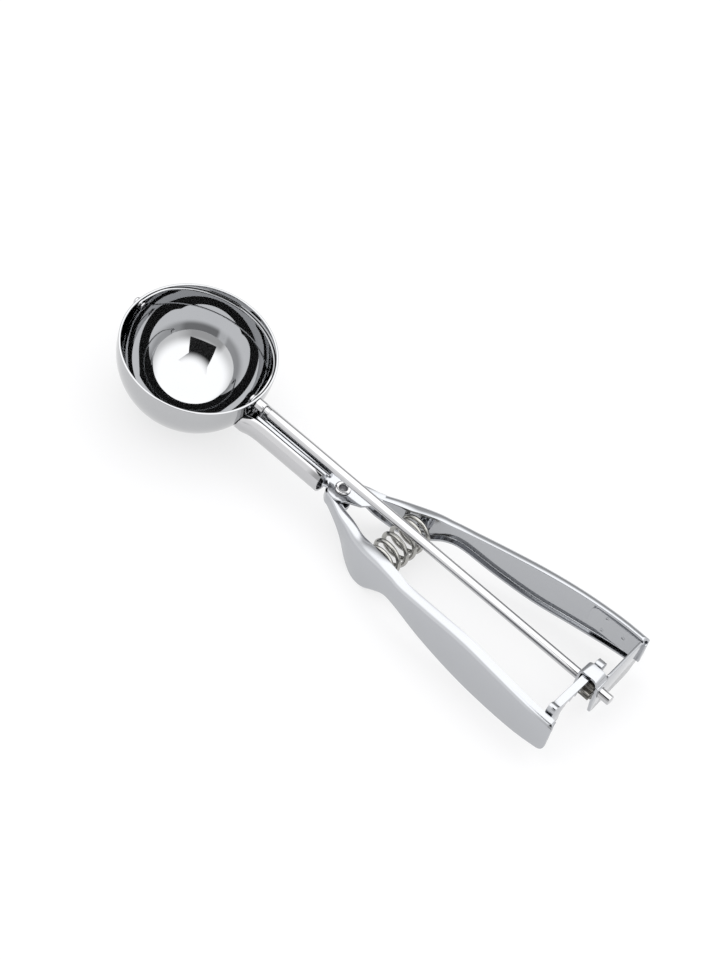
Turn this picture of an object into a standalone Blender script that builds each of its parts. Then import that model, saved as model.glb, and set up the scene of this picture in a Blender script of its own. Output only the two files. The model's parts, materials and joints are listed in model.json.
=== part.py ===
"""Portion scoop with squeeze handles: a round bowl whose scraping blade is turned by a rack and pinion.

The pieces are drawn in the bowl's frame: the origin is the bowl's centre, X runs along the drive rod
towards the handle ends, Z is the way the bowl opens. One empty then sets that frame down so that the
world origin lies under the middle of the scoop, at the height of the bowl's lowest point.
"""
import math

import bmesh
import bpy
from mathutils import Matrix, Vector

# Clearances
SEAT_GAP = 0.0003
RUN_GAP = 0.0003

# Bowl
BOWL_RADIUS = 0.0300
BOWL_WALL = 0.0009
RIM_RISE = 0.0024

# Scraping blade and its far pivot
BLADE_GAP = 0.00035
BLADE_SHEET = 0.0006
BLADE_HALF_WIDTH = 0.0042
BLADE_EYE_RADIUS = 0.0024
BLADE_REST_DROP = math.radians(10.0)
TIP_PIN_RADIUS = 0.0009
TIP_HEAD_RADIUS = 0.0016
TIP_HEAD_DEPTH = 0.0013
TIP_HEAD_RIM = 0.0004

# Drive rod and the sleeve that it turns in
ROD_RADIUS = 0.0020
JOURNAL_RADIUS = 0.0013
ROD_STUB = 0.0049
ROD_CHAMFER = 0.0004
ROD_HEAD_DEPTH = 0.0008
SLEEVE_WALL = 0.0006
SLEEVE_LENGTH = 0.0036
SLEEVE_TO_SHOULDER = 0.0022
SLEEVE_ROOM = 0.0008

# Neck tube, open along its top, spread into a saddle on the bowl
NECK_RADIUS = 0.0066
NECK_WALL = 0.0008
NECK_DROP = 0.0078
NECK_MOUTH = math.radians(38.0)
NECK_END_X = 0.0665
SADDLE_LENGTH = 0.0100
SADDLE_HALF_WIDTH = 0.0074
SADDLE_DEPTH = 0.0085
SADDLE_RISE = 0.0050
SADDLE_FLARE = 3.0
SADDLE_FOOT = 0.72

# Handles, pressed from one gauge of sheet
SHEET = 0.0009
PIVOT_X = 0.0742
PLATE_TOP = -0.0066
NOSE_RADIUS = 0.0060
NOSE_DEPTH = 0.0074
NOSE_FLANGE = 0.0030
FRONT_FLANGE = 0.0050
GRIP_FLANGE = 0.0041
END_FLANGE = 0.0034
LOWER_FLANGE = 0.0030
UPPER_EDGE_RADIUS = 0.0030
UPPER_EDGE_SHARE = 0.24
LOWER_EDGE_RADIUS = 0.0013
LOWER_EDGE_SHARE = 0.18
FLANGE_FALL = math.radians(8.0)
FINGER_STOP_REACH = 0.0221
FINGER_STOP_SPREAD = 0.0160
FINGER_STOP_TOP = -0.0053
FINGER_STOP_BOTTOM = -0.0239
DIP_REACH = 0.0446
DIP_SPREAD = 0.0210
DIP_TOP = -0.0015
DIP_BOTTOM = -0.0134
GRIP_REACH = 0.0758
GRIP_SPREAD = 0.0253
GRIP_TOP = 0.0042
GRIP_BOTTOM = -0.0161
HANDLE_LENGTH = 0.1212
HANDLE_END_SPREAD = 0.0292
HANDLE_END_TOP = 0.0057
HANDLE_END_BOTTOM = -0.0106
END_CORNER = 0.0042
END_TOP_CORNER = 0.0028
TANG_START_X = 0.0330
TROUGH_HALF_WIDTH = 0.0023
TROUGH_WALL = 0.0009
PLATE_NECK_HALF_WIDTH = 0.0031
PLATE_HALF_WIDTH = 0.0046
PLATE_LAP = 0.0006

# Tubular rivet at the pivot
RIVET_RADIUS = 0.0022
RIVET_BORE = 0.0015
RIVET_HEAD_RADIUS = 0.0031
RIVET_HEAD_DEPTH = 0.0006

# Return spring and the studs inside its ends
SPRING_REACH = 0.0283
SPRING_DROP = 0.0130
SPRING_RADIUS = 0.0062
SPRING_WIRE = 0.0018
SPRING_TURNS = 6.0
SPRING_END_PITCH = 0.0025
SPRING_END_BEND = 0.0012
STUD_RADIUS = 0.0028
STUD_LENGTH = 0.0038
STUD_TAPER = 0.85

# Rack and pinion
TOOTH_MODULE = 0.0010
PINION_TEETH = 9
TOOTH_ADDENDUM = 0.0008
TOOTH_PLAY = 0.0006
ROOT_ROUNDING = 0.00015
PRESSURE_ANGLE = math.radians(20.0)
PINION_LENGTH = 0.0063
BLADE_SWEEP = math.radians(160.0)
RACK_SHEET = 0.0032
RACK_SETBACK = 0.0049
RACK_BAR_RISE = 0.0020
RACK_REACH = 0.0062
SHOULDER_RISE = 0.0012
RACK_CLEARANCE = 0.0007
RACK_CORNER = 0.0014
RACK_END_CORNER = 0.0004
RACK_HEEL_REACH = 0.0026
RACK_HEEL_DEPTH = 0.0046
SHOULDER_BEND = ((0.0006, 0.0007), (0.0016, 0.0), (0.0028, 0.0003), (0.0041, 0.0015), (0.0056, 0.0017))
NUB_BEND = ((0.0, 0.0005), (0.0008, 0.0))
NUB_END = ((0.0014, 0.0002), (0.0003, 0.0012))

# Rear bracket, the right handle's arm that carries the rod's end
BRACKET_SHEET = 0.0012
BRACKET_OVERHANG = 0.0009
BRACKET_TILT = 0.054
BRIDGE_NEAR_Y = -0.0042
BRIDGE_FAR_Y = 0.0017
BRIDGE_SHEET = 0.0010
BRIDGE_BACK_BEND = 0.0024
BRIDGE_FRONT_BEND = 0.0030
REAR_LEG_DEPTH = 0.0052
TONGUE_DEPTH = 0.0125
TONGUE_Y = 0.0006
TONGUE_RADIUS = 0.0030
ARM_FALL_Y = 0.0028
ARM_FALL_Z = 0.0006
WELD_LEG_LENGTH = 0.0240
WELD_LEG_CORNER = 0.0030
WELD_MARK_RADIUS = 0.0008
WELD_MARK_DEPTH = 0.0003
WELD_MARKS = ((0.0085, -0.0024), (0.0169, 0.0012), (0.0171, -0.0064))

# Play of the welded pieces in the handles' channels
CHANNEL_PLAY = 0.00045
EDGE_PLAY = 0.0006

# Worked out from the values above
BOWL_INNER = BOWL_RADIUS - BOWL_WALL
BLADE_OUTER = BOWL_INNER - BLADE_GAP
BLADE_INNER = BLADE_OUTER - BLADE_SHEET
SLEEVE_BORE = JOURNAL_RADIUS + RUN_GAP
SLEEVE_START_X = BOWL_RADIUS + SEAT_GAP
ROD_SHOULDER_X = SLEEVE_START_X + SLEEVE_LENGTH + SLEEVE_TO_SHOULDER
HANDLE_END_X = PIVOT_X + HANDLE_LENGTH
END_CUT_WIDTH = HANDLE_END_SPREAD * 0.7
BRACKET_FACE_X = HANDLE_END_X + BRACKET_OVERHANG
ROD_END_X = BRACKET_FACE_X + ROD_STUB
RACK_X = HANDLE_END_X - RACK_SETBACK
TOOTH_PITCH = math.pi * TOOTH_MODULE
PITCH_RADIUS = PINION_TEETH * TOOTH_MODULE / 2
PINION_TIP_RADIUS = PITCH_RADIUS + TOOTH_ADDENDUM
PINION_ROOT_RADIUS = PITCH_RADIUS - TOOTH_ADDENDUM - RUN_GAP
TOOTH_THICKNESS = (TOOTH_PITCH - TOOTH_PLAY) / 2
RACK_TRAVEL = PITCH_RADIUS * BLADE_SWEEP
RACK_TIP_Z = PITCH_RADIUS - TOOTH_ADDENDUM
RACK_ROOT_Z = PINION_TIP_RADIUS + RUN_GAP
RACK_TOP_Z = RACK_ROOT_Z + RACK_BAR_RISE
BRIDGE_BOTTOM_Z = RACK_TOP_Z + RUN_GAP
BRIDGE_TOP_Z = BRIDGE_BOTTOM_Z + BRIDGE_SHEET
REAR_LEG_X = RACK_X - RACK_SHEET / 2 - RUN_GAP * 3
LEFT_FRONT_TOP = PLATE_TOP - SHEET - RUN_GAP
LEFT_FRONT_BOTTOM = PLATE_TOP - NOSE_DEPTH
RIGHT_FRONT_BOTTOM = LEFT_FRONT_BOTTOM - RUN_GAP - SHEET
SCOOP_START_X = -(BOWL_RADIUS + SEAT_GAP + TIP_HEAD_DEPTH)
SPRING_X = PIVOT_X + SPRING_REACH

ROUND_STEPS = 48
SMALL_ROUND_STEPS = 20
DRAWING_SCALE = 1000.0


def clear_scene():
    for old in list(bpy.data.objects):
        bpy.data.objects.remove(old, do_unlink=True)


def new_collection(name):
    group = bpy.data.collections.new(name)
    bpy.context.scene.collection.children.link(group)
    return group


def steel(name, colour, roughness):
    material = bpy.data.materials.new(name)
    material.use_nodes = True
    shader = material.node_tree.nodes["Principled BSDF"]
    shader.inputs["Base Color"].default_value = (*colour, 1.0)
    shader.inputs["Roughness"].default_value = roughness
    shader.inputs["Metallic"].default_value = 1.0
    return material


def add_object(name, mesh, group):
    obj = bpy.data.objects.new(name, mesh)
    group.objects.link(obj)
    return obj


def as_cutter(obj):
    obj.hide_render = True
    obj.display_type = "WIRE"
    return obj


def boolean(target, other, operation):
    """Cut, join or trim the target with another closed shape, kept among the cutters."""
    modifier = target.modifiers.new(operation.lower() + "_" + other.name, "BOOLEAN")
    modifier.operation = operation
    modifier.solver = "EXACT"
    modifier.object = other
    return modifier


def smooth_faces(mesh, angle=math.radians(35.0)):
    mesh.shade_smooth()
    mesh.set_sharp_from_angle(angle=angle)


def turned(name, profile, group, axis="Z", steps=SMALL_ROUND_STEPS, closed=False):
    """Turn a profile of (radius, height) points, listed down the outer side, about Z or about X."""
    bm = bmesh.new()
    points = [bm.verts.new((radius, 0.0, height)) for radius, height in profile]
    for first, second in zip(points, points[1:]):
        bm.edges.new((first, second))
    if closed:
        bm.edges.new((points[-1], points[0]))
    mesh = bpy.data.meshes.new(name)
    bm.to_mesh(mesh)
    bm.free()
    obj = add_object(name, mesh, group)
    screw = obj.modifiers.new("turn", "SCREW")
    screw.steps = steps
    screw.render_steps = steps
    screw.use_merge_vertices = True
    screw.merge_threshold = 0.00001
    screw.use_smooth_shade = True
    if axis == "X":
        obj.rotation_euler = (0.0, math.radians(90.0), 0.0)
    return obj


def outline_solid(name, outline, thickness, group, frame):
    """Make a plate from a flat outline, each side of it one face, and set it down by a matrix."""
    curve = bpy.data.curves.new(name, "CURVE")
    curve.dimensions = "2D"
    curve.fill_mode = "BOTH"
    curve.extrude = thickness / 2 * DRAWING_SCALE
    spline = curve.splines.new("POLY")
    spline.points.add(len(outline) - 1)
    for point, (u, v) in zip(spline.points, outline):
        point.co = (u * DRAWING_SCALE, v * DRAWING_SCALE, 0.0, 1.0)
    spline.use_cyclic_u = True
    guide = add_object(name + "_outline", curve, group)
    bpy.context.view_layer.update()
    evaluated = guide.evaluated_get(bpy.context.evaluated_depsgraph_get())
    mesh = bpy.data.meshes.new_from_object(evaluated)
    bpy.data.objects.remove(guide, do_unlink=True)
    bm = bmesh.new()
    bm.from_mesh(mesh)
    bmesh.ops.scale(bm, vec=Vector((1, 1, 1)) / DRAWING_SCALE, verts=bm.verts)
    bmesh.ops.remove_doubles(bm, verts=bm.verts, dist=0.00001)
    for above in (True, False):
        side = [face for face in bm.faces if all((vert.co.z > 0) == above for vert in face.verts)]
        bmesh.ops.dissolve_faces(bm, faces=side)
    bmesh.ops.recalc_face_normals(bm, faces=bm.faces)
    bm.to_mesh(mesh)
    bm.free()
    mesh.name = name
    obj = add_object(name, mesh, group)
    obj.matrix_world = frame
    return obj


def across_x(x, turn=0.0):
    """A frame for outlines drawn in Y and Z, with the plate's middle at x, turned about Z at y = 0."""
    basis = Matrix(((0, 0, 1, x), (1, 0, 0, 0), (0, 1, 0, 0), (0, 0, 0, 1)))
    pivot = Matrix.Translation((x, 0, 0))
    return pivot @ Matrix.Rotation(turn, 4, "Z") @ pivot.inverted() @ basis


def flat_at(z):
    """A frame for outlines drawn in X and Y, with the plate's middle at height z."""
    return Matrix.Translation((0, 0, z))


def cylinder(name, radius, length, group, centre, axis="Z", steps=SMALL_ROUND_STEPS):
    bm = bmesh.new()
    bmesh.ops.create_cone(bm, cap_ends=True, segments=steps, radius1=radius, radius2=radius, depth=length)
    mesh = bpy.data.meshes.new(name)
    turn = {"Z": Matrix(), "X": Matrix.Rotation(math.pi / 2, 4, "Y")}
    bmesh.ops.transform(bm, matrix=Matrix.Translation(centre) @ turn[axis], verts=bm.verts)
    bm.to_mesh(mesh)
    bm.free()
    return add_object(name, mesh, group)


def arc(centre, radius, start, end, count):
    """Points on an arc between two angles in degrees, both ends included."""
    points = []
    for i in range(count + 1):
        angle = math.radians(start + (end - start) * i / count)
        points.append((centre[0] + radius * math.cos(angle), centre[1] + radius * math.sin(angle)))
    return points


def smooth_rows(rows, pieces):
    """Rows of numbers along one smooth curve through the given rows."""
    result = []
    last = len(rows) - 1
    for i in range(last):
        before, start, end, after = rows[max(i - 1, 0)], rows[i], rows[i + 1], rows[min(i + 2, last)]
        for step in range(pieces):
            t = step / pieces
            row = []
            for a, b, c, d in zip(before, start, end, after):
                row.append(0.5 * (2 * b + (c - a) * t + (2 * a - 5 * b + 4 * c - d) * t * t
                                  + (3 * b - a - 3 * c + d) * t ** 3))
            result.append(row)
    result.append(list(rows[last]))
    return result


def loft(name, sections, group):
    """An open surface through sections of equal point count."""
    bm = bmesh.new()
    rings = [[bm.verts.new(point) for point in section] for section in sections]
    for first, second in zip(rings, rings[1:]):
        for i in range(len(first) - 1):
            bm.faces.new((first[i], second[i], second[i + 1], first[i + 1]))
    mesh = bpy.data.meshes.new(name)
    bm.to_mesh(mesh)
    bm.free()
    return add_object(name, mesh, group)


def solidify(obj, thickness, offset):
    modifier = obj.modifiers.new("sheet", "SOLIDIFY")
    modifier.thickness = thickness
    modifier.offset = offset
    modifier.use_even_offset = True
    modifier.use_quality_normals = True
    return modifier


# Bowl, blade and rod

def build_bowl(parts, cutters):
    outer = [(BOWL_RADIUS, RIM_RISE)] + arc((0, 0), BOWL_RADIUS, 0, -90, 12)
    inner = arc((0, 0), BOWL_INNER, -90, 0, 12) + [(BOWL_INNER, RIM_RISE)]
    outer[-1] = (0.0, -BOWL_RADIUS)
    inner[0] = (0.0, -BOWL_INNER)
    bowl = turned("bowl", inner_to_outer(outer, inner), parts, steps=ROUND_STEPS)
    wall_middle = BOWL_RADIUS - BOWL_WALL / 2
    for name, side, radius in (("rod_hole", 1, JOURNAL_RADIUS), ("tip_hole", -1, TIP_PIN_RADIUS)):
        centre = (side * wall_middle, 0, 0)
        drill = as_cutter(cylinder(name, radius + RUN_GAP, BOWL_WALL * 4, cutters, centre, "X"))
        boolean(bowl, drill, "DIFFERENCE")
    return bowl


def inner_to_outer(outer, inner):
    """One profile from the inner pole up to the rim, over it and down the outer side to the pole."""
    return list(inner) + list(outer)


def build_blade(parts, cutters):
    """A band of the sphere just inside the bowl, narrowed to an eye at each end."""
    along, across = 30, 4
    bm = bmesh.new()
    bmesh.ops.create_grid(bm, x_segments=along, y_segments=across, size=1.0)
    overshoot = BLADE_EYE_RADIUS / BLADE_OUTER
    for vert in bm.verts:
        travel = (vert.co.x + 1.0) / 2
        longitude = -overshoot + travel * (math.pi + 2 * overshoot)
        from_end = min(longitude + overshoot, math.pi + overshoot - longitude) * BLADE_OUTER
        half = blade_half_width(from_end)
        latitude = vert.co.y * half / BLADE_OUTER
        lean = Vector((math.cos(longitude) * math.cos(latitude), math.sin(longitude) * math.cos(latitude),
                       math.sin(latitude)))
        vert.co = lean * BLADE_OUTER
    bmesh.ops.rotate(bm, cent=(0, 0, 0), matrix=Matrix.Rotation(-BLADE_REST_DROP, 3, "X"), verts=bm.verts)
    bmesh.ops.recalc_face_normals(bm, faces=bm.faces)
    if next(iter(bm.faces)).normal.dot(next(iter(bm.faces)).calc_center_median()) < 0:
        bmesh.ops.reverse_faces(bm, faces=bm.faces)
    mesh = bpy.data.meshes.new("blade")
    bm.to_mesh(mesh)
    bm.free()
    blade = add_object("blade", mesh, parts)
    solidify(blade, BLADE_SHEET, -1.0)
    middle = (BLADE_OUTER + BLADE_INNER) / 2
    for name, side, radius in (("blade_rod_eye", 1, JOURNAL_RADIUS), ("blade_tip_eye", -1, TIP_PIN_RADIUS)):
        centre = (side * middle, 0, 0)
        drill = as_cutter(cylinder(name, radius + RUN_GAP * 0.7, BLADE_SHEET * 4, cutters, centre, "X"))
        boolean(blade, drill, "DIFFERENCE")
    return blade


def blade_half_width(from_end):
    """Half the blade's width at a distance from its end: a round eye, then a smooth swell."""
    if from_end < BLADE_EYE_RADIUS:
        reach = min(BLADE_EYE_RADIUS - from_end, BLADE_EYE_RADIUS * 0.95)
        return math.sqrt(BLADE_EYE_RADIUS ** 2 - reach ** 2)
    swell = min((from_end - BLADE_EYE_RADIUS) / (BLADE_HALF_WIDTH * 3.0), 1.0)
    return BLADE_EYE_RADIUS + (BLADE_HALF_WIDTH - BLADE_EYE_RADIUS) * swell * swell * (3 - 2 * swell)


def build_tip_pin(parts):
    """The rivet pin that the blade's far eye turns on, with a domed head outside the bowl."""
    shank_end = BLADE_INNER - RUN_GAP
    inner_end = shank_end - TIP_HEAD_DEPTH / 2
    outer_start = BOWL_RADIUS + SEAT_GAP
    outer_end = outer_start + TIP_HEAD_DEPTH
    dome_start = outer_start + TIP_HEAD_RIM
    dome_rise = TIP_HEAD_DEPTH - TIP_HEAD_RIM
    head = [(TIP_HEAD_RADIUS * u, dome_start + dome_rise * v) for u, v in arc((0, 0), 1.0, 90, 0, 4)]
    head[0] = (0.0, outer_end)
    profile = head + [(TIP_HEAD_RADIUS, outer_start), (TIP_PIN_RADIUS, outer_start)]
    profile += [(TIP_PIN_RADIUS, shank_end), (TIP_HEAD_RADIUS, shank_end), (TIP_HEAD_RADIUS, inner_end)]
    profile.append((0.0, inner_end))
    pin = turned("blade_tip_pin", profile, parts, "X", steps=16)
    pin.rotation_euler = (0.0, math.radians(-90.0), 0.0)
    return pin


def build_rod(parts):
    """The drive rod: a riveted inner end, a thin journal through the bowl's wall, then the full rod."""
    head_start = BLADE_INNER - SEAT_GAP
    head_end = head_start - ROD_HEAD_DEPTH
    free_end = [(0.0, ROD_END_X), (ROD_RADIUS - ROD_CHAMFER, ROD_END_X)]
    free_end.append((ROD_RADIUS, ROD_END_X - ROD_CHAMFER))
    journal = [(ROD_RADIUS, ROD_SHOULDER_X + ROD_CHAMFER), (JOURNAL_RADIUS, ROD_SHOULDER_X)]
    journal.append((JOURNAL_RADIUS, head_start))
    head = [(ROD_RADIUS, head_start), (ROD_RADIUS, head_end + ROD_CHAMFER / 2), (JOURNAL_RADIUS, head_end)]
    profile = free_end + journal + head + [(0.0, head_end)]
    return turned("drive_rod", profile, parts, "X")


def build_sleeve(parts):
    outer = SLEEVE_BORE + SLEEVE_WALL
    end = SLEEVE_START_X + SLEEVE_LENGTH
    chamfer = SLEEVE_WALL / 2
    profile = [(SLEEVE_BORE, end), (outer - chamfer, end), (outer, end - chamfer), (outer, SLEEVE_START_X),
               (SLEEVE_BORE, SLEEVE_START_X)]
    return turned("rod_sleeve", profile, parts, "X", closed=True)


# Neck

def neck_section(x):
    """One section of the neck at x, from lip to lip below the rod, wider and deeper near the bowl."""
    reach = min(max(0.0, (BOWL_RADIUS + SADDLE_LENGTH - x) / SADDLE_LENGTH), 1.0)
    spread = reach ** SADDLE_FLARE
    half = NECK_RADIUS + (SADDLE_HALF_WIDTH - NECK_RADIUS) * spread
    depth = NECK_RADIUS + (SADDLE_DEPTH - NECK_RADIUS) * spread
    rise = NECK_RADIUS + (SADDLE_RISE - NECK_RADIUS) * spread
    count = 18
    section = []
    for i in range(count + 1):
        angle = math.pi / 2 - NECK_MOUTH - (2 * math.pi - 2 * NECK_MOUTH) * i / count
        vertical = rise if math.sin(angle) > 0 else depth
        section.append((x, half * math.cos(angle), -NECK_DROP + vertical * math.sin(angle)))
    return section


def build_neck(parts, cutters):
    start = BOWL_RADIUS * SADDLE_FOOT
    saddle_end = BOWL_RADIUS + SADDLE_LENGTH
    stations = [start + (saddle_end - start) * i / 10 for i in range(11)]
    stations += [(saddle_end + NECK_END_X) / 2, NECK_END_X]
    neck = loft("neck_tube", [neck_section(x) for x in stations], parts)
    solidify(neck, NECK_WALL, -1.0)
    bm = bmesh.new()
    bmesh.ops.create_uvsphere(bm, u_segments=ROUND_STEPS, v_segments=24, radius=BOWL_RADIUS + SEAT_GAP)
    mesh = bpy.data.meshes.new("bowl_clearance")
    bm.to_mesh(mesh)
    bm.free()
    boolean(neck, as_cutter(add_object("bowl_clearance", mesh, cutters)), "DIFFERENCE")
    sleeve_outer = SLEEVE_BORE + SLEEVE_WALL + SEAT_GAP
    centre = (SLEEVE_START_X + SLEEVE_LENGTH / 2, 0, 0)
    room_length = SLEEVE_LENGTH + SLEEVE_ROOM
    room = as_cutter(cylinder("sleeve_clearance", sleeve_outer, room_length, cutters, centre, "X"))
    boolean(neck, room, "DIFFERENCE")
    return neck


# Handles

def between(first, second, share, across, top, bottom):
    """A row of the handle between two knots: shares of the way along, across, up its top and bottom."""
    shares = (share, across, top, bottom, share)
    return tuple(a + (b - a) * part for a, b, part in zip(first, second, shares))


def handle_rows(front_top, front_bottom):
    """The handle's wall from nose to end, as rows of x, spread, top edge, bottom edge and flange width."""
    rows = []
    for angle in (168.0, 145.0, 120.0, 97.0):
        turn = math.radians(angle)
        rows.append((PIVOT_X + NOSE_RADIUS * math.cos(turn), NOSE_RADIUS * math.sin(turn), front_top,
                     front_bottom, NOSE_FLANGE))
    nose = (PIVOT_X, NOSE_RADIUS, front_top, front_bottom, NOSE_FLANGE)
    stop_x = PIVOT_X + FINGER_STOP_REACH
    stop = (stop_x, FINGER_STOP_SPREAD, FINGER_STOP_TOP, FINGER_STOP_BOTTOM, FRONT_FLANGE)
    dip = (PIVOT_X + DIP_REACH, DIP_SPREAD, DIP_TOP, DIP_BOTTOM, GRIP_FLANGE)
    grip = (PIVOT_X + GRIP_REACH, GRIP_SPREAD, GRIP_TOP, GRIP_BOTTOM, GRIP_FLANGE)
    end = (HANDLE_END_X, HANDLE_END_SPREAD, HANDLE_END_TOP, HANDLE_END_BOTTOM, END_FLANGE)
    rows.append(between(nose, stop, 0.25, 0.30, 0.01, 0.07))
    rows.append(between(nose, stop, 0.49, 0.49, 0.06, 0.41))
    rows.append(between(nose, stop, 0.74, 0.77, 0.31, 0.79))
    rows.append(stop)
    rows.append(between(stop, dip, 0.25, 0.29, 0.39, 0.12))
    rows.append(between(stop, dip, 0.48, 0.51, 0.70, 0.54))
    rows.append(between(stop, dip, 0.71, 0.71, 0.84, 0.91))
    rows.append(dip)
    rows.append(between(dip, grip, 0.45, 0.48, 0.47, 0.72))
    rows.append(grip)
    rows.append(between(grip, end, 0.36, 0.57, 0.83, 0.24))
    rows.append(between(grip, end, 0.72, 0.97, 1.01, 0.61))
    rows.append(end)
    return rows


def wall_path(front_top, front_bottom):
    return smooth_rows(handle_rows(front_top, front_bottom), 2)


def wall_row_at(x):
    """The row of the right handle's wall at x, behind the pivot."""
    path = [row for row in wall_path(PLATE_TOP, RIGHT_FRONT_BOTTOM) if row[1] > NOSE_RADIUS * 0.9]
    if x < path[0][0]:
        return path[0]
    for first, second in zip(path, path[1:]):
        if first[0] <= x <= second[0]:
            share = (x - first[0]) / (second[0] - first[0])
            return tuple(a + (b - a) * share for a, b in zip(first, second))
    return path[-1]


def wall_spread_at(x):
    return wall_row_at(x)[1]


def wall_slope_at(x):
    """The angle of the handle's wall from the rod's line at x."""
    step = 0.001
    return math.atan2(wall_spread_at(x + step) - wall_spread_at(x - step), 2 * step)


def handle_section(row, inward, side):
    """The channel's section on the wall at one row: flange, round edge, wall, round edge, flange.

    Behind the pivot the upper flange falls outwards, so that its highest edge is the inner one.
    """
    x, spread, top, bottom, flange = row
    upper_radius = min(UPPER_EDGE_RADIUS, (top - bottom) * UPPER_EDGE_SHARE)
    lower_radius = min(LOWER_EDGE_RADIUS, (top - bottom) * LOWER_EDGE_SHARE)
    fall = FLANGE_FALL * min(max((x - PIVOT_X) / FINGER_STOP_REACH, 0.0), 1.0)
    run = flange - upper_radius * (1 - math.sin(fall))
    centre = (upper_radius, top - upper_radius * math.cos(fall) - run * math.tan(fall))
    upper = [(flange, top)] + arc(centre, upper_radius, 90 + math.degrees(fall), 180, 4)
    lower = arc((lower_radius, bottom + lower_radius), lower_radius, 180, 270, 3) + [(LOWER_FLANGE, bottom)]
    section = []
    for depth, z in upper + lower:
        section.append((x + inward[0] * depth, side * (spread + inward[1] * depth), z))
    return section


def handle_shell(name, side, front_top, front_bottom, group):
    path = wall_path(front_top, front_bottom)
    last = len(path) - 1
    sections = []
    for i, row in enumerate(path):
        ahead, behind = path[min(i + 1, last)], path[max(i - 1, 0)]
        dx, dy = ahead[0] - behind[0], ahead[1] - behind[1]
        length = math.hypot(dx, dy)
        sections.append(handle_section(row, (dy / length, -dx / length), side))
    shell = loft(name, sections, group)
    if side < 0:
        shell.data.flip_normals()
    solidify(shell, SHEET, -1.0)
    return shell


def round_off_end(handle, side, cutters):
    """Cut the two rounded corners of a handle's end through its wall and flanges."""
    side_view = Matrix(((1, 0, 0, 0), (0, 0, -1, side * HANDLE_END_SPREAD), (0, 1, 0, 0), (0, 0, 0, 1)))
    past_end = HANDLE_END_X + SHEET
    corners = (("low", END_CORNER, HANDLE_END_BOTTOM, 1), ("high", END_TOP_CORNER, HANDLE_END_TOP, -1))
    for name, radius, edge, way in corners:
        centre = (HANDLE_END_X - radius, edge + way * radius)
        beyond = edge - way * radius
        outline = arc(centre, radius, -90 * way, -5 * way, 6)
        outline += [(past_end, centre[1]), (past_end, beyond), (centre[0], beyond)]
        waste = outline_solid(f"{handle.name}_{name}_corner", outline, END_CUT_WIDTH, cutters, side_view)
        boolean(handle, as_cutter(waste), "DIFFERENCE")


def spring_stud(name, side, cutters):
    """The stud on a handle's inner wall that keeps the spring's end in place, square to the wall."""
    bm = bmesh.new()
    length = STUD_LENGTH + SHEET / 2
    bmesh.ops.create_cone(bm, cap_ends=True, segments=SMALL_ROUND_STEPS, radius1=STUD_RADIUS,
                          radius2=STUD_RADIUS * STUD_TAPER, depth=length)
    mesh = bpy.data.meshes.new(name)
    slope = wall_slope_at(SPRING_X)
    foot = Vector((SPRING_X, side * (wall_spread_at(SPRING_X) - SHEET / 2), -SPRING_DROP))
    turn = Matrix.Rotation(side * slope, 4, "Z") @ Matrix.Rotation(side * math.pi / 2, 4, "X")
    bmesh.ops.transform(bm, matrix=Matrix.Translation(foot) @ turn @ Matrix.Translation((0, 0, length / 2)),
                        verts=bm.verts)
    bm.to_mesh(mesh)
    bm.free()
    return as_cutter(add_object(name, mesh, cutters))


def pivot_tab(name, z_top, cutters):
    """A round tab about the pivot, level with a handle's flange."""
    centre = (PIVOT_X, 0, z_top - SHEET / 2)
    return as_cutter(cylinder(name, NOSE_RADIUS - SHEET - RUN_GAP * 2, SHEET, cutters, centre, steps=28))


def rivet_drill(name, cutters):
    middle = (PLATE_TOP + RIGHT_FRONT_BOTTOM) / 2
    length = PLATE_TOP - RIGHT_FRONT_BOTTOM + SHEET * 4
    return as_cutter(cylinder(name, RIVET_RADIUS + RUN_GAP, length, cutters, (PIVOT_X, 0, middle)))


def build_left_handle(parts, cutters):
    handle = handle_shell("left_handle", -1, LEFT_FRONT_TOP, LEFT_FRONT_BOTTOM, parts)
    round_off_end(handle, -1, cutters)
    boolean(handle, spring_stud("left_spring_stud", -1, cutters), "UNION")
    boolean(handle, pivot_tab("left_top_tab", LEFT_FRONT_TOP, cutters), "UNION")
    boolean(handle, pivot_tab("left_bottom_tab", LEFT_FRONT_BOTTOM + SHEET, cutters), "UNION")
    boolean(handle, rivet_drill("left_rivet_hole", cutters), "DIFFERENCE")
    return handle


def tang_section():
    """The tang's trough inside the neck: a U of sheet whose two edges reach the tube's inside."""
    reach = NECK_RADIUS - NECK_WALL - SEAT_GAP
    outer = TROUGH_HALF_WIDTH + TROUGH_WALL
    floor_top = PLATE_TOP - SHEET * 0.05
    inner_edge = math.sqrt(reach ** 2 - TROUGH_HALF_WIDTH ** 2) - NECK_DROP
    outer_edge = math.sqrt(reach ** 2 - outer ** 2) - NECK_DROP
    depth = inner_edge - floor_top
    bend = TROUGH_HALF_WIDTH * 0.8
    inside = [(TROUGH_HALF_WIDTH * u, inner_edge + depth * v) for u, v in arc((0, 0), 1.0, 0, -180, 12)]
    right_bend = arc((outer - bend, floor_top - SHEET + bend), bend, -90, 0, 4)
    left_bend = [(-y, z) for y, z in reversed(right_bend)]
    return inside + [(-outer, outer_edge)] + left_bend + right_bend + [(outer, outer_edge)]


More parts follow.
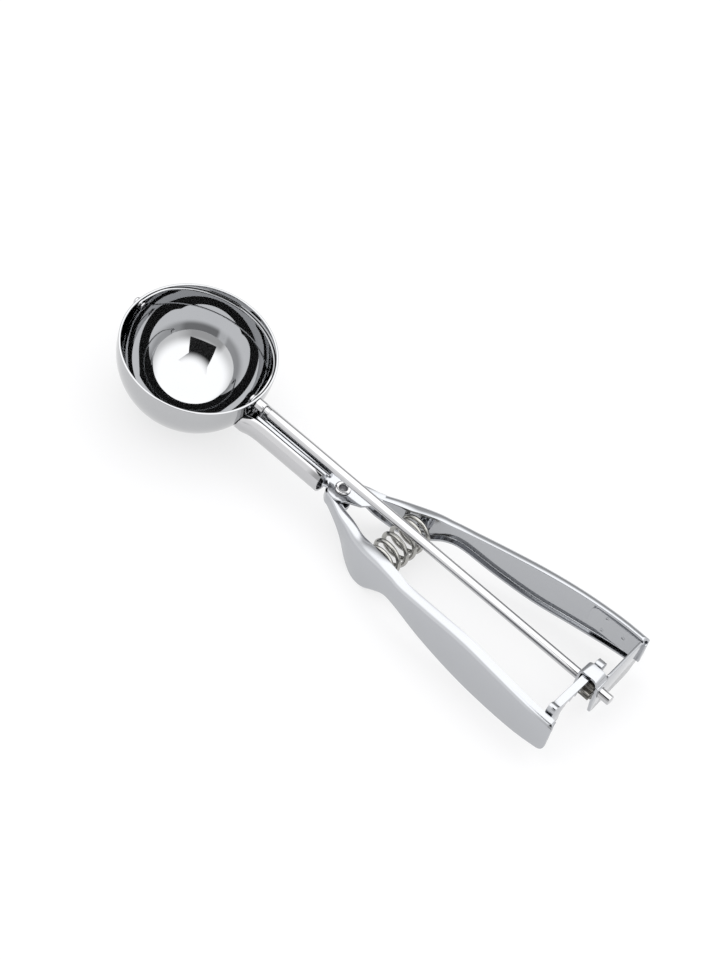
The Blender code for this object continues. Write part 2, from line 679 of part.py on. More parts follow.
def pivot_plate_outline():
    """The flat plate from the trough, round the pivot and over to the right handle's wall."""
    round_end = arc((PIVOT_X, 0), NOSE_RADIUS - SEAT_GAP * 2 / 3, 222, 318, 8)
    stop_x = PIVOT_X + FINGER_STOP_REACH * 0.58
    lap = SHEET + PLATE_LAP
    outer = []
    for share in (1.0, 0.66, 0.33, 0.05):
        x = PIVOT_X + (stop_x - PIVOT_X) * share
        outer.append((x, wall_spread_at(x) - lap))
    front = arc((PIVOT_X, 0), NOSE_RADIUS - lap, 100, 146, 3)
    start, mouth = NECK_END_X - PLATE_HALF_WIDTH, NECK_END_X + PLATE_LAP
    near = [(start, -PLATE_NECK_HALF_WIDTH), (mouth, -PLATE_NECK_HALF_WIDTH)]
    near.append((mouth + PLATE_LAP, -PLATE_HALF_WIDTH))
    far = [(x, -y) for x, y in reversed(near)]
    inner = [(PIVOT_X + NOSE_RADIUS * 1.6, -NOSE_RADIUS / 6)]
    inner.append((PIVOT_X + NOSE_RADIUS * 2.3, NOSE_RADIUS * 0.75))
    return near + round_end + inner + outer + front + far


def build_right_handle(parts, cutters):
    handle = handle_shell("right_handle", 1, PLATE_TOP, RIGHT_FRONT_BOTTOM, parts)
    round_off_end(handle, 1, cutters)
    boolean(handle, spring_stud("right_spring_stud", 1, cutters), "UNION")
    plate = outline_solid("pivot_plate", pivot_plate_outline(), SHEET, cutters,
                          flat_at(PLATE_TOP - SHEET / 2))
    boolean(handle, as_cutter(plate), "UNION")
    tang_length = NECK_END_X + PLATE_LAP - TANG_START_X
    middle_x = TANG_START_X + tang_length / 2
    trough = outline_solid("tang_trough", tang_section(), tang_length, cutters, across_x(middle_x))
    boolean(handle, as_cutter(trough), "UNION")
    boolean(handle, pivot_tab("right_bottom_tab", RIGHT_FRONT_BOTTOM + SHEET, cutters), "UNION")
    boolean(handle, rivet_drill("right_rivet_hole", cutters), "DIFFERENCE")
    return handle


def build_rivet(parts):
    top = PLATE_TOP + SEAT_GAP
    bottom = RIGHT_FRONT_BOTTOM - SEAT_GAP
    soft = RIVET_HEAD_DEPTH / 2
    profile = [(RIVET_BORE, top + RIVET_HEAD_DEPTH), (RIVET_HEAD_RADIUS - soft, top + RIVET_HEAD_DEPTH),
               (RIVET_HEAD_RADIUS, top + soft), (RIVET_HEAD_RADIUS, top), (RIVET_RADIUS, top),
               (RIVET_RADIUS, bottom), (RIVET_HEAD_RADIUS, bottom), (RIVET_HEAD_RADIUS, bottom - soft),
               (RIVET_HEAD_RADIUS - soft, bottom - RIVET_HEAD_DEPTH), (RIVET_BORE, bottom - RIVET_HEAD_DEPTH)]
    rivet = turned("pivot_rivet", profile, parts, closed=True, steps=24)
    rivet.location = (PIVOT_X, 0, 0)
    return rivet


# Spring

def spring_points():
    """The coil's centre line along Y, its end turns closer and its ends bent out square to the walls."""
    per_turn = 10
    wire_x = SPRING_X - SPRING_RADIUS
    slope = wall_slope_at(wire_x)
    to_wall = Vector((-math.sin(slope), math.cos(slope), 0))
    wall_y = wall_spread_at(wire_x) - SHEET / math.cos(slope)
    coil_end = wall_y - (SEAT_GAP + SPRING_WIRE + SPRING_END_BEND) / math.cos(slope)
    count = round(SPRING_TURNS * per_turn)
    end_turns = 1.0
    free_pitch = (2 * coil_end - 2 * end_turns * SPRING_END_PITCH) / (SPRING_TURNS - 2 * end_turns)
    points = []
    y = -coil_end
    for i in range(count + 1):
        angle = math.pi + 2 * math.pi * i / per_turn
        points.append(Vector((SPRING_RADIUS * math.cos(angle), y, SPRING_RADIUS * math.sin(angle))))
        turns_done = (i + 0.5) / per_turn
        closed = min(turns_done, SPRING_TURNS - turns_done) < end_turns
        y += (SPRING_END_PITCH if closed else free_pitch) / per_turn
    tangent = Vector((0, 0, -1))
    tail = []
    for angle in (30, 60, 90):
        turn = math.radians(angle)
        down, across = SPRING_END_BEND * math.sin(turn), SPRING_END_BEND * (1 - math.cos(turn))
        tail.append(tangent * down + to_wall * across)
    tail.append(tail[-1] + to_wall * SPRING_WIRE)
    last = points[-1].copy()
    points += [last + step for step in tail]
    first = points[0].copy()
    for step in tail:
        points.insert(0, first + Vector((step.x, -step.y, -step.z)))
    return points


def least_self_gap(points, wire):
    """The least gap between stretches of the wire that are at least half a turn apart."""
    least = math.inf
    for i, point in enumerate(points):
        for j in range(i + 6, len(points) - 1):
            start, run = points[j], points[j + 1] - points[j]
            share = max(0.0, min(1.0, (point - start).dot(run) / run.length_squared))
            least = min(least, (point - start - run * share).length)
    return least - wire


def build_spring(parts):
    points = spring_points()
    print("spring least gap to itself, mm:", round(least_self_gap(points, SPRING_WIRE) * 1000, 3))
    curve = bpy.data.curves.new("handle_spring", "CURVE")
    curve.dimensions = "3D"
    curve.bevel_depth = SPRING_WIRE / 2
    curve.bevel_resolution = 2
    curve.use_fill_caps = True
    spline = curve.splines.new("POLY")
    spline.points.add(len(points) - 1)
    for target, point in zip(spline.points, points):
        target.co = (*point, 1.0)
    spring = add_object("handle_spring", curve, parts)
    spring.location = (SPRING_X, 0, -SPRING_DROP)
    return spring


# Rack and pinion

def involute(angle):
    return math.tan(angle) - angle


def pinion_outline():
    """Tooth outlines with involute sides, the first tooth pointing up."""
    base = PITCH_RADIUS * math.cos(PRESSURE_ANGLE)
    half_pitch = TOOTH_THICKNESS / (2 * PITCH_RADIUS)
    points = []
    for tooth in range(PINION_TEETH):
        centre = math.pi / 2 + 2 * math.pi * tooth / PINION_TEETH
        side = [(PINION_ROOT_RADIUS, half_pitch + involute(PRESSURE_ANGLE) + 0.06)]
        for step in range(4):
            radius = base + (PINION_TIP_RADIUS - base) * step / 3
            spread = half_pitch + involute(PRESSURE_ANGLE) - involute(math.acos(min(1.0, base / radius)))
            side.append((radius, spread))
        for radius, spread in side:
            points.append((radius * math.cos(centre - spread), radius * math.sin(centre - spread)))
        for radius, spread in reversed(side):
            points.append((radius * math.cos(centre + spread), radius * math.sin(centre + spread)))
    return points


def build_pinion(parts, cutters):
    middle = REAR_LEG_X + RUN_GAP + PINION_LENGTH / 2
    pinion = outline_solid("pinion", pinion_outline(), PINION_LENGTH, parts, across_x(middle))
    bore_radius = ROD_RADIUS + SEAT_GAP * 0.7
    bore = cylinder("pinion_bore", bore_radius, PINION_LENGTH * 2, cutters, (middle, 0, 0), "X")
    boolean(pinion, as_cutter(bore), "DIFFERENCE")
    return pinion


def rack_tooth_centres():
    """Tooth centres, half a pitch off the pinion's upright tooth, over the whole travel."""
    spare = 1.5 * TOOTH_PITCH
    last = -(RACK_TRAVEL + spare)
    centres = []
    centre = spare
    while centre > last + 0.25 * TOOTH_PITCH:
        centres.append(centre)
        centre -= TOOTH_PITCH
    return centres


def handle_channel():
    """The room inside a handle near its end: its wall, its flange edges, their inner heights."""
    row = wall_row_at(RACK_X)
    wall = row[1] - SHEET - CHANNEL_PLAY
    upper_edge = row[1] - row[4] - EDGE_PLAY
    lower_edge = row[1] - LOWER_FLANGE - EDGE_PLAY
    ceiling = row[2] - SHEET - CHANNEL_PLAY
    floor = HANDLE_END_BOTTOM + SHEET + EDGE_PLAY
    return wall, upper_edge, lower_edge, ceiling, floor


def rack_outline():
    """The rack's side view in Y and Z: toothed bar, nub at its tip, shoulder and base in the handle."""
    slope = math.tan(PRESSURE_ANGLE)
    half_tip = TOOTH_THICKNESS / 2 - (PITCH_RADIUS - RACK_TIP_Z) * slope
    half_root = TOOTH_THICKNESS / 2 + (RACK_ROOT_Z - PITCH_RADIUS) * slope
    centres = rack_tooth_centres()
    points = [(RACK_REACH, RACK_ROOT_Z + RACK_END_CORNER)]
    for centre in centres:
        points += [(centre + half_root, RACK_ROOT_Z), (centre + half_tip, RACK_TIP_Z)]
        points += [(centre - half_tip, RACK_TIP_Z), (centre - half_root, RACK_ROOT_Z)]
        points.append((centre - TOOTH_PITCH / 2, RACK_ROOT_Z + ROOT_ROUNDING))
    last_root = centres[-1] - TOOTH_PITCH + half_root
    wall, upper_edge, lower_edge, ceiling, floor = handle_channel()
    corner = RACK_CORNER
    shoulder_top = RACK_TOP_Z + SHOULDER_RISE
    nub_start = BRIDGE_FAR_Y + RUN_GAP * 1.5
    nub_top = BRIDGE_TOP_Z
    points.append((last_root, RACK_ROOT_Z))
    points += arc((-RACK_TRAVEL, 0), PINION_TIP_RADIUS + RACK_CLEARANCE, 142, 205, 5)
    points += [(last_root - RACK_HEEL_REACH, -RACK_HEEL_DEPTH), (-lower_edge + EDGE_PLAY, floor)]
    points += [(-wall + corner, floor), (-wall, floor + corner), (-wall, ceiling - corner)]
    points += [(-wall + corner, ceiling), (-upper_edge, ceiling), (-upper_edge, HANDLE_END_TOP + SEAT_GAP)]
    points += [(-upper_edge + across, shoulder_top - down) for across, down in SHOULDER_BEND]
    points += [(BRIDGE_NEAR_Y - EDGE_PLAY, RACK_TOP_Z), (nub_start - RUN_GAP, RACK_TOP_Z)]
    points += [(nub_start + across, nub_top - down) for across, down in NUB_BEND]
    points += [(RACK_REACH - across, nub_top - down) for across, down in NUB_END]
    points.append((RACK_REACH, RACK_TOP_Z - RACK_END_CORNER))
    return points


def along_wall(side, depth):
    """A frame for outlines in X and Z on a plane along the inside of a handle's wall, near its end."""
    start = HANDLE_END_X - WELD_LEG_LENGTH
    first, second = wall_spread_at(start), wall_spread_at(HANDLE_END_X)
    slope = math.atan2(second - first, WELD_LEG_LENGTH)
    basis = Matrix(((1, 0, 0, 0), (0, 0, -1, 0), (0, 1, 0, 0), (0, 0, 0, 1)))
    place = Matrix.Translation((start, side * first, 0)) @ Matrix.Rotation(side * slope, 4, "Z")
    return place @ Matrix.Translation((0, -side * depth, 0)) @ Matrix.Translation((-start, 0, 0)) @ basis


def weld_leg(name, side, end, cutters):
    """A plate along the inside of a handle's wall, from near the handle's end forwards."""
    start = HANDLE_END_X - WELD_LEG_LENGTH
    top = HANDLE_END_TOP - UPPER_EDGE_RADIUS - SEAT_GAP
    bottom = HANDLE_END_BOTTOM + SHEET + LOWER_EDGE_RADIUS
    corner = WELD_LEG_CORNER
    outline = (arc((start + corner, top - corner), corner, 90, 180, 4)
               + arc((start + corner, bottom + corner), corner, 180, 270, 4) + [(end, bottom), (end, top)])
    depth = SHEET + CHANNEL_PLAY + BRACKET_SHEET / 2
    return as_cutter(outline_solid(name, outline, BRACKET_SHEET, cutters, along_wall(side, depth)))


def weld_marks(cutters):
    """The shallow round marks of the spot welds, sunk in the bracket's leg, one cutter for each."""
    marks = []
    depth = SHEET + CHANNEL_PLAY + BRACKET_SHEET
    for i, (back, rise) in enumerate(WELD_MARKS):
        outline = arc((HANDLE_END_X - back, rise), WELD_MARK_RADIUS, 0, 330, 11)
        frame = along_wall(1, depth)
        marks.append(as_cutter(outline_solid(f"weld_mark_{i}", outline, WELD_MARK_DEPTH * 2, cutters, frame)))
    return marks


def build_rack(parts, cutters):
    rack = outline_solid("left_rack", rack_outline(), RACK_SHEET, parts, across_x(RACK_X))
    leg_end = RACK_X + RACK_SHEET / 2 - SEAT_GAP
    boolean(rack, weld_leg("rack_weld_leg", -1, leg_end, cutters), "UNION")
    return rack


# Rear bracket

def bracket_outline():
    """The bracket's plate in Y and Z, from its tongue below the rod to the right handle's wall."""
    wall, upper_edge, lower_edge, ceiling, floor = handle_channel()
    wall -= SEAT_GAP
    top = BRIDGE_TOP_Z - BRIDGE_FRONT_BEND
    corner = RACK_CORNER
    tongue = arc((TONGUE_Y, -TONGUE_DEPTH + TONGUE_RADIUS), TONGUE_RADIUS, 185, 270, 6)
    points = [(BRIDGE_NEAR_Y, top), (BRIDGE_NEAR_Y, -TONGUE_RADIUS)] + tongue
    points += [(lower_edge - TONGUE_RADIUS, -TONGUE_DEPTH), (lower_edge, floor - SHEET)]
    points.append((wall - corner, floor))
    points += [(wall, floor + corner), (wall, ceiling - corner), (wall - corner, ceiling)]
    points += [(upper_edge - SEAT_GAP, ceiling), (upper_edge - EDGE_PLAY, HANDLE_END_TOP)]
    points += [(BRIDGE_FAR_Y + ARM_FALL_Y, RACK_TOP_Z - ARM_FALL_Z), (BRIDGE_FAR_Y + ARM_FALL_Z, RACK_TOP_Z)]
    points.append((BRIDGE_FAR_Y, top))
    return points


def bracket_strap_outline():
    """The strip that bends back over the rack and down behind the pinion, in X and Z."""
    back = REAR_LEG_X - BRIDGE_SHEET
    front = BRACKET_FACE_X - BRACKET_SHEET / 4
    back_centre = (back + BRIDGE_BACK_BEND, BRIDGE_TOP_Z - BRIDGE_BACK_BEND)
    front_centre = (front - BRIDGE_FRONT_BEND, BRIDGE_TOP_Z - BRIDGE_FRONT_BEND)
    outer = ([(back, -REAR_LEG_DEPTH)] + arc(back_centre, BRIDGE_BACK_BEND, 180, 90, 4)
             + arc(front_centre, BRIDGE_FRONT_BEND, 90, 0, 5))
    inner = (arc(front_centre, BRIDGE_FRONT_BEND - BRIDGE_SHEET, 0, 90, 5)
             + arc(back_centre, BRIDGE_BACK_BEND - BRIDGE_SHEET, 90, 180, 4)
             + [(REAR_LEG_X, -REAR_LEG_DEPTH)])
    return outer + inner


def build_bracket(parts, cutters):
    middle_x = BRACKET_FACE_X - BRACKET_SHEET / 2
    bracket = outline_solid("rear_bracket", bracket_outline(), BRACKET_SHEET, parts,
                            across_x(middle_x, math.atan(BRACKET_TILT)))
    strap_y = (BRIDGE_NEAR_Y + BRIDGE_FAR_Y) / 2
    strap_width = (BRIDGE_FAR_Y - BRIDGE_NEAR_Y) * 0.99
    side_view = Matrix(((1, 0, 0, 0), (0, 0, -1, strap_y), (0, 1, 0, 0), (0, 0, 0, 1)))
    strap = outline_solid("bracket_strap", bracket_strap_outline(), strap_width, cutters, side_view)
    boolean(bracket, as_cutter(strap), "UNION")
    boolean(bracket, weld_leg("bracket_weld_leg", 1, HANDLE_END_X + SEAT_GAP, cutters), "UNION")
    for mark in weld_marks(cutters):
        boolean(bracket, mark, "DIFFERENCE")
    middle = (REAR_LEG_X + BRACKET_FACE_X) / 2
    drill = cylinder("bracket_rod_hole", ROD_RADIUS + RUN_GAP, (BRACKET_FACE_X - REAR_LEG_X) * 2, cutters,
                     (middle, 0, 0), "X")
    boolean(bracket, as_cutter(drill), "DIFFERENCE")
    return bracket


# Assembly

def main():
    clear_scene()
    parts = new_collection("portion_scoop")
    cutters = new_collection("cutters")
    mirror_steel = steel("mirror_steel", (0.80, 0.81, 0.82), 0.05)
    polished_steel = steel("polished_steel", (0.74, 0.75, 0.77), 0.12)
    pressed_steel = steel("pressed_steel", (0.70, 0.71, 0.74), 0.18)
    spring_steel = steel("spring_steel", (0.62, 0.62, 0.60), 0.20)
    cut_steel = steel("cut_steel", (0.55, 0.55, 0.53), 0.30)

    root_pieces = [
        (build_bowl(parts, cutters), mirror_steel),
        (build_tip_pin(parts), polished_steel),
        (build_sleeve(parts), polished_steel),
        (build_neck(parts, cutters), polished_steel),
        (build_right_handle(parts, cutters), pressed_steel),
        (build_rivet(parts), polished_steel),
        (build_bracket(parts, cutters), pressed_steel),
        (build_spring(parts), spring_steel),
    ]
    rod_pieces = [
        (build_rod(parts), polished_steel),
        (build_pinion(parts, cutters), cut_steel),
        (build_blade(parts, cutters), mirror_steel),
    ]
    left_pieces = [
        (build_left_handle(parts, cutters), pressed_steel),
        (build_rack(parts, cutters), pressed_steel),
    ]

    scoop_frame = add_object("scoop_frame", None, parts)
    scoop_frame.location = (-(SCOOP_START_X + ROD_END_X) / 2, 0, BOWL_RADIUS)
    pivot_axis = add_object("pivot_axis", None, parts)
    pivot_axis.parent = scoop_frame
    pivot_axis.location = (PIVOT_X, 0, 0)
    rod_axis = add_object("rod_axis", None, parts)
    rod_axis.parent = scoop_frame

    for pieces, parent in ((root_pieces, scoop_frame), (rod_pieces, rod_axis), (left_pieces, pivot_axis)):
        for obj, material in pieces:
            obj.data.materials.append(material)
            obj.parent = parent
            if parent is pivot_axis:
                obj.matrix_parent_inverse = Matrix.Translation((-PIVOT_X, 0, 0))
            if obj.type == "MESH":
                smooth_faces(obj.data)
    for cutter in cutters.objects:
        cutter.parent = scoop_frame
    print("squeeze range of the left handle, degrees:",
          round(math.degrees(math.asin(RACK_TRAVEL / (RACK_X - PIVOT_X))), 3))
    print("rod turns per handle turn:", round((RACK_X - PIVOT_X) / PITCH_RADIUS, 4))
    print("frame offset, mm:", [round(v * 1000, 3) for v in scoop_frame.location])


main()
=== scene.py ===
"""Portion scoop in polished stainless steel on a white floor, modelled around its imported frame.

Lengths are in metres. The pieces are drawn in the bowl's frame, as the scoop is built: the origin is
the bowl's centre, X runs along the drive rod towards the handle ends and Z is the way the bowl opens.
"""
import json
import math

import bmesh
import bpy
from mathutils import Matrix, Vector


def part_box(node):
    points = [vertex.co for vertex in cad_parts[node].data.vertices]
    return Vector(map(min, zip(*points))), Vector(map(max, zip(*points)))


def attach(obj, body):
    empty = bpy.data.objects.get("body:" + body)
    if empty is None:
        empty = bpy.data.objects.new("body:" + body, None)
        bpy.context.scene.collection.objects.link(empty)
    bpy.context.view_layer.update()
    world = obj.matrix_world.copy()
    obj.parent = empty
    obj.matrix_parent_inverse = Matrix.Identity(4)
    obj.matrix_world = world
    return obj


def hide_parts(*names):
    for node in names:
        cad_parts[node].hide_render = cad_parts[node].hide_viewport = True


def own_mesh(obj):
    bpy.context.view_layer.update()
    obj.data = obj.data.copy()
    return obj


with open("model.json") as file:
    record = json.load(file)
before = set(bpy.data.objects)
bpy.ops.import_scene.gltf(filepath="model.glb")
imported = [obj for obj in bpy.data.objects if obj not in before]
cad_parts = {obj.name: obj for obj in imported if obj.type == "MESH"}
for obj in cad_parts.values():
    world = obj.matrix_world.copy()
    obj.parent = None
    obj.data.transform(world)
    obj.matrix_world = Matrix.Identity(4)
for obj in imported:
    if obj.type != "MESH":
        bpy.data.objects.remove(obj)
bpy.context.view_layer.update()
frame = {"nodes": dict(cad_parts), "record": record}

# Bowl, read from the frame
bowl_low, bowl_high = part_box("bowl")
BOWL_RADIUS = (bowl_high.y - bowl_low.y) / 2
BOWL_CENTRE = Vector(((bowl_low.x + bowl_high.x) / 2, 0.0, bowl_low.z + BOWL_RADIUS))
RIM_RISE = bowl_high.z - BOWL_CENTRE.z
BOWL_WALL = 0.0009
RIM_ROWS = 3

# Clearances
SEAT_GAP = 0.0003
RUN_GAP = 0.0003
PRESS_GAP = 0.00021

# Scraping blade and its far pivot
BLADE_GAP = 0.00035
BLADE_SHEET = 0.0006
BLADE_HALF_WIDTH = 0.0042
BLADE_EYE_RADIUS = 0.0024
BLADE_TIP_SHARE = 0.97
BLADE_EDGE = 0.00012
BLADE_COLUMNS = 300
BLADE_ROWS = 10
BLADE_REST_DROP = math.radians(10.0)
TIP_PIN_RADIUS = 0.0009
TIP_HEAD_RADIUS = 0.0016
TIP_HEAD_DEPTH = 0.0013

# Drive rod and its sleeve
ROD_RADIUS = 0.0020
JOURNAL_RADIUS = 0.0013
ROD_STUB = 0.0049
ROD_CHAMFER = 0.0004
ROD_HEAD_DEPTH = 0.0008
SLEEVE_WALL = 0.0006
SLEEVE_LENGTH = 0.0036
SLEEVE_TO_SHOULDER = 0.0022
SLEEVE_ROOM = 0.0008

# Neck tube and its saddle
NECK_RADIUS = 0.0066
NECK_WALL = 0.0008
NECK_DROP = 0.0078
NECK_MOUTH = math.radians(38.0)
NECK_END_X = 0.0665
SADDLE_LENGTH = 0.0100
SADDLE_HALF_WIDTH = 0.0074
SADDLE_DEPTH = 0.0085
SADDLE_RISE = 0.0050
SADDLE_FLARE = 3.0
SADDLE_FOOT = 0.72

# Handles
SHEET = 0.0009
PIVOT_X = 0.0742
PLATE_TOP = -0.0066
NOSE_RADIUS = 0.0060
NOSE_DEPTH = 0.0074
NOSE_FLANGE = 0.0030
FRONT_FLANGE = 0.0050
GRIP_FLANGE = 0.0041
END_FLANGE = 0.0034
LOWER_FLANGE = 0.0030
UPPER_EDGE_RADIUS = 0.0030
UPPER_EDGE_SHARE = 0.24
LOWER_EDGE_RADIUS = 0.0013
LOWER_EDGE_SHARE = 0.18
FLANGE_FALL = math.radians(8.0)
FINGER_STOP_REACH = 0.0221
FINGER_STOP_SPREAD = 0.0160
FINGER_STOP_TOP = -0.0053
FINGER_STOP_BOTTOM = -0.0239
DIP_REACH = 0.0446
DIP_SPREAD = 0.0210
DIP_TOP = -0.0015
DIP_BOTTOM = -0.0134
GRIP_REACH = 0.0758
GRIP_SPREAD = 0.0253
GRIP_TOP = 0.0042
GRIP_BOTTOM = -0.0161
HANDLE_LENGTH = 0.1212
HANDLE_END_SPREAD = 0.0292
HANDLE_END_TOP = 0.0057
HANDLE_END_BOTTOM = -0.0106
END_CORNER = 0.0042
END_TOP_CORNER = 0.0028
TANG_START_X = 0.0330
TROUGH_HALF_WIDTH = 0.0023
TROUGH_WALL = 0.0009
TROUGH_SINK = 0.000045
TROUGH_BEND = 0.00184
PLATE_NECK_HALF_WIDTH = 0.0031
PLATE_HALF_WIDTH = 0.0046
PLATE_LAP = 0.0006
PLATE_END_SHARE = 0.58
PLATE_INNER_EDGE = ((0.0096, -0.0010), (0.0138, 0.0045))

# Tubular rivet
RIVET_RADIUS = 0.0022
RIVET_BORE = 0.0015
RIVET_HEAD_RADIUS = 0.0031
RIVET_HEAD_DEPTH = 0.0006

# Spring and its studs
SPRING_REACH = 0.0283
SPRING_DROP = 0.0130
SPRING_RADIUS = 0.0062
SPRING_WIRE = 0.0018
SPRING_TURNS = 6.0
SPRING_END_PITCH = 0.0025
SPRING_END_BEND = 0.0012
STUD_RADIUS = 0.0028
STUD_LENGTH = 0.0038
STUD_TAPER = 0.85
STUD_EDGE = 0.00056

# Rack and pinion
TOOTH_MODULE = 0.0010
PINION_TEETH = 9
TOOTH_ADDENDUM = 0.0008
TOOTH_PLAY = 0.0006
ROOT_ROUNDING = 0.00015
PRESSURE_ANGLE = math.radians(20.0)
ROOT_SPREAD = 0.06
PINION_LENGTH = 0.0063
BLADE_SWEEP = math.radians(160.0)
RACK_SHEET = 0.0032
RACK_SETBACK = 0.0049
RACK_BAR_RISE = 0.0020
RACK_REACH = 0.0062
SHOULDER_RISE = 0.0012
RACK_CLEARANCE = 0.0007
RACK_CORNER = 0.0014
RACK_END_CORNER = 0.0004
RACK_HEEL_REACH = 0.0026
RACK_HEEL_DEPTH = 0.0046
RACK_HOLLOW = (142, 205)
SHOULDER_BEND = ((0.0006, 0.0007), (0.0011, 0.0002), (0.0018, 0.0), (0.0028, 0.0003), (0.0041, 0.0015),
                 (0.0056, 0.0017))
NUB_BEND = ((0.0, 0.0005), (0.0003, 0.0001), (0.0008, 0.0))
NUB_END = ((0.0014, 0.0002), (0.0007, 0.0006), (0.0003, 0.0012))

# Rear bracket
BRACKET_SHEET = 0.0012
BRACKET_OVERHANG = 0.0009
BRACKET_TILT = 0.054
BRIDGE_NEAR_Y = -0.0042
BRIDGE_FAR_Y = 0.0017
BRIDGE_SHEET = 0.0010
STRAP_SHARE = 0.99
BRIDGE_BACK_BEND = 0.0024
BRIDGE_FRONT_BEND = 0.0030
REAR_LEG_DEPTH = 0.0052
TONGUE_DEPTH = 0.0125
TONGUE_Y = 0.0006
TONGUE_RADIUS = 0.0030
ARM_FALL_Y = 0.0028
ARM_FALL_Z = 0.0006
WELD_LEG_LENGTH = 0.0240
WELD_LEG_CORNER = 0.0030
WELD_MARK_RADIUS = 0.0008
WELD_MARK_DEPTH = 0.0003
WELD_MARKS = ((0.0085, -0.0024), (0.0169, 0.0012), (0.0171, -0.0064))

# Play of the welded pieces in the handles' channels
CHANNEL_PLAY = 0.00045
EDGE_PLAY = 0.0006

# Softened edges
SHEET_EDGE = 0.00016
TURNED_EDGE = 0.00018
RIM_EDGE = 0.00028
BRACKET_EDGE = 0.0004

# Rows on either side that give the way inwards from a handle's wall
ROWS_APART = 3

# Steps along a handle between two of its rows
HANDLE_STEPS = 4

# Vertices nearer than this are one
MERGE_WITHIN = 0.00001

# Facets round a turned piece or a ball
BOWL_FACETS = 192
ROUND_FACETS = 64
STUD_FACETS = 48
BALL_FACETS = 96

# Steel: how far its gloss and tone wander, and its hairlines
GLOSS_SPREAD = 0.3
TONE_SPREAD = 0.03
CLOUD_SCALE = 140.0
CLOUD_DETAIL = 4.0
HAIRLINE_SCALE = 1600.0
HAIRLINE_DEPTH = 0.00002

# Worked out from the values above
BOWL_INNER = BOWL_RADIUS - BOWL_WALL
BLADE_OUTER = BOWL_INNER - BLADE_GAP
BLADE_INNER = BLADE_OUTER - BLADE_SHEET
BLADE_SWELL = BLADE_HALF_WIDTH * 3.0
SLEEVE_BORE = JOURNAL_RADIUS + RUN_GAP
SLEEVE_START_X = BOWL_RADIUS + SEAT_GAP
ROD_SHOULDER_X = SLEEVE_START_X + SLEEVE_LENGTH + SLEEVE_TO_SHOULDER
HANDLE_END_X = PIVOT_X + HANDLE_LENGTH
END_CUT_WIDTH = HANDLE_END_SPREAD * 0.7
BRACKET_FACE_X = HANDLE_END_X + BRACKET_OVERHANG
ROD_END_X = BRACKET_FACE_X + ROD_STUB
RACK_X = HANDLE_END_X - RACK_SETBACK
TOOTH_PITCH = math.pi * TOOTH_MODULE
PITCH_RADIUS = PINION_TEETH * TOOTH_MODULE / 2
PINION_TIP_RADIUS = PITCH_RADIUS + TOOTH_ADDENDUM
PINION_ROOT_RADIUS = PITCH_RADIUS - TOOTH_ADDENDUM - RUN_GAP
TOOTH_THICKNESS = (TOOTH_PITCH - TOOTH_PLAY) / 2
RACK_TRAVEL = PITCH_RADIUS * BLADE_SWEEP
RACK_TIP_Z = PITCH_RADIUS - TOOTH_ADDENDUM
RACK_ROOT_Z = PINION_TIP_RADIUS + RUN_GAP
RACK_TOP_Z = RACK_ROOT_Z + RACK_BAR_RISE
BRIDGE_BOTTOM_Z = RACK_TOP_Z + RUN_GAP
BRIDGE_TOP_Z = BRIDGE_BOTTOM_Z + BRIDGE_SHEET
REAR_LEG_X = RACK_X - RACK_SHEET / 2 - RUN_GAP * 3
LEFT_FRONT_TOP = PLATE_TOP - SHEET - RUN_GAP
LEFT_FRONT_BOTTOM = PLATE_TOP - NOSE_DEPTH
RIGHT_FRONT_BOTTOM = LEFT_FRONT_BOTTOM - RUN_GAP - SHEET
SPRING_X = PIVOT_X + SPRING_REACH


# Steels

def steel_finish(name, tint, roughness, hairline=0.02):
    """Steel: a faint cloudiness in its gloss and tone, and hairlines too fine to see one by one."""
    finish = bpy.data.materials.new(name)
    finish.use_nodes = True
    nodes, links = finish.node_tree.nodes, finish.node_tree.links
    shader = nodes["Principled BSDF"]
    shader.inputs["Metallic"].default_value = 1.0
    place = nodes.new("ShaderNodeTexCoord")
    cloud = nodes.new("ShaderNodeTexNoise")
    cloud.inputs["Scale"].default_value = CLOUD_SCALE
    cloud.inputs["Detail"].default_value = CLOUD_DETAIL
    links.new(place.outputs["Object"], cloud.inputs["Vector"])
    gloss = nodes.new("ShaderNodeMapRange")
    gloss.inputs["To Min"].default_value = roughness * (1 - GLOSS_SPREAD)
    gloss.inputs["To Max"].default_value = roughness * (1 + GLOSS_SPREAD)
    links.new(cloud.outputs["Fac"], gloss.inputs["Value"])
    links.new(gloss.outputs["Result"], shader.inputs["Roughness"])
    tone = nodes.new("ShaderNodeMix")
    tone.data_type = "RGBA"
    tone.inputs[6].default_value = (*[part * (1 - TONE_SPREAD) for part in tint], 1.0)
    tone.inputs[7].default_value = (*tint, 1.0)
    links.new(cloud.outputs["Fac"], tone.inputs["Factor"])
    links.new(tone.outputs[2], shader.inputs["Base Color"])
    lines = nodes.new("ShaderNodeTexNoise")
    lines.inputs["Scale"].default_value = HAIRLINE_SCALE
    links.new(place.outputs["Object"], lines.inputs["Vector"])
    bump = nodes.new("ShaderNodeBump")
    bump.inputs["Strength"].default_value = hairline
    bump.inputs["Distance"].default_value = HAIRLINE_DEPTH
    links.new(lines.outputs["Fac"], bump.inputs["Height"])
    links.new(bump.outputs["Normal"], shader.inputs["Normal"])
    return finish


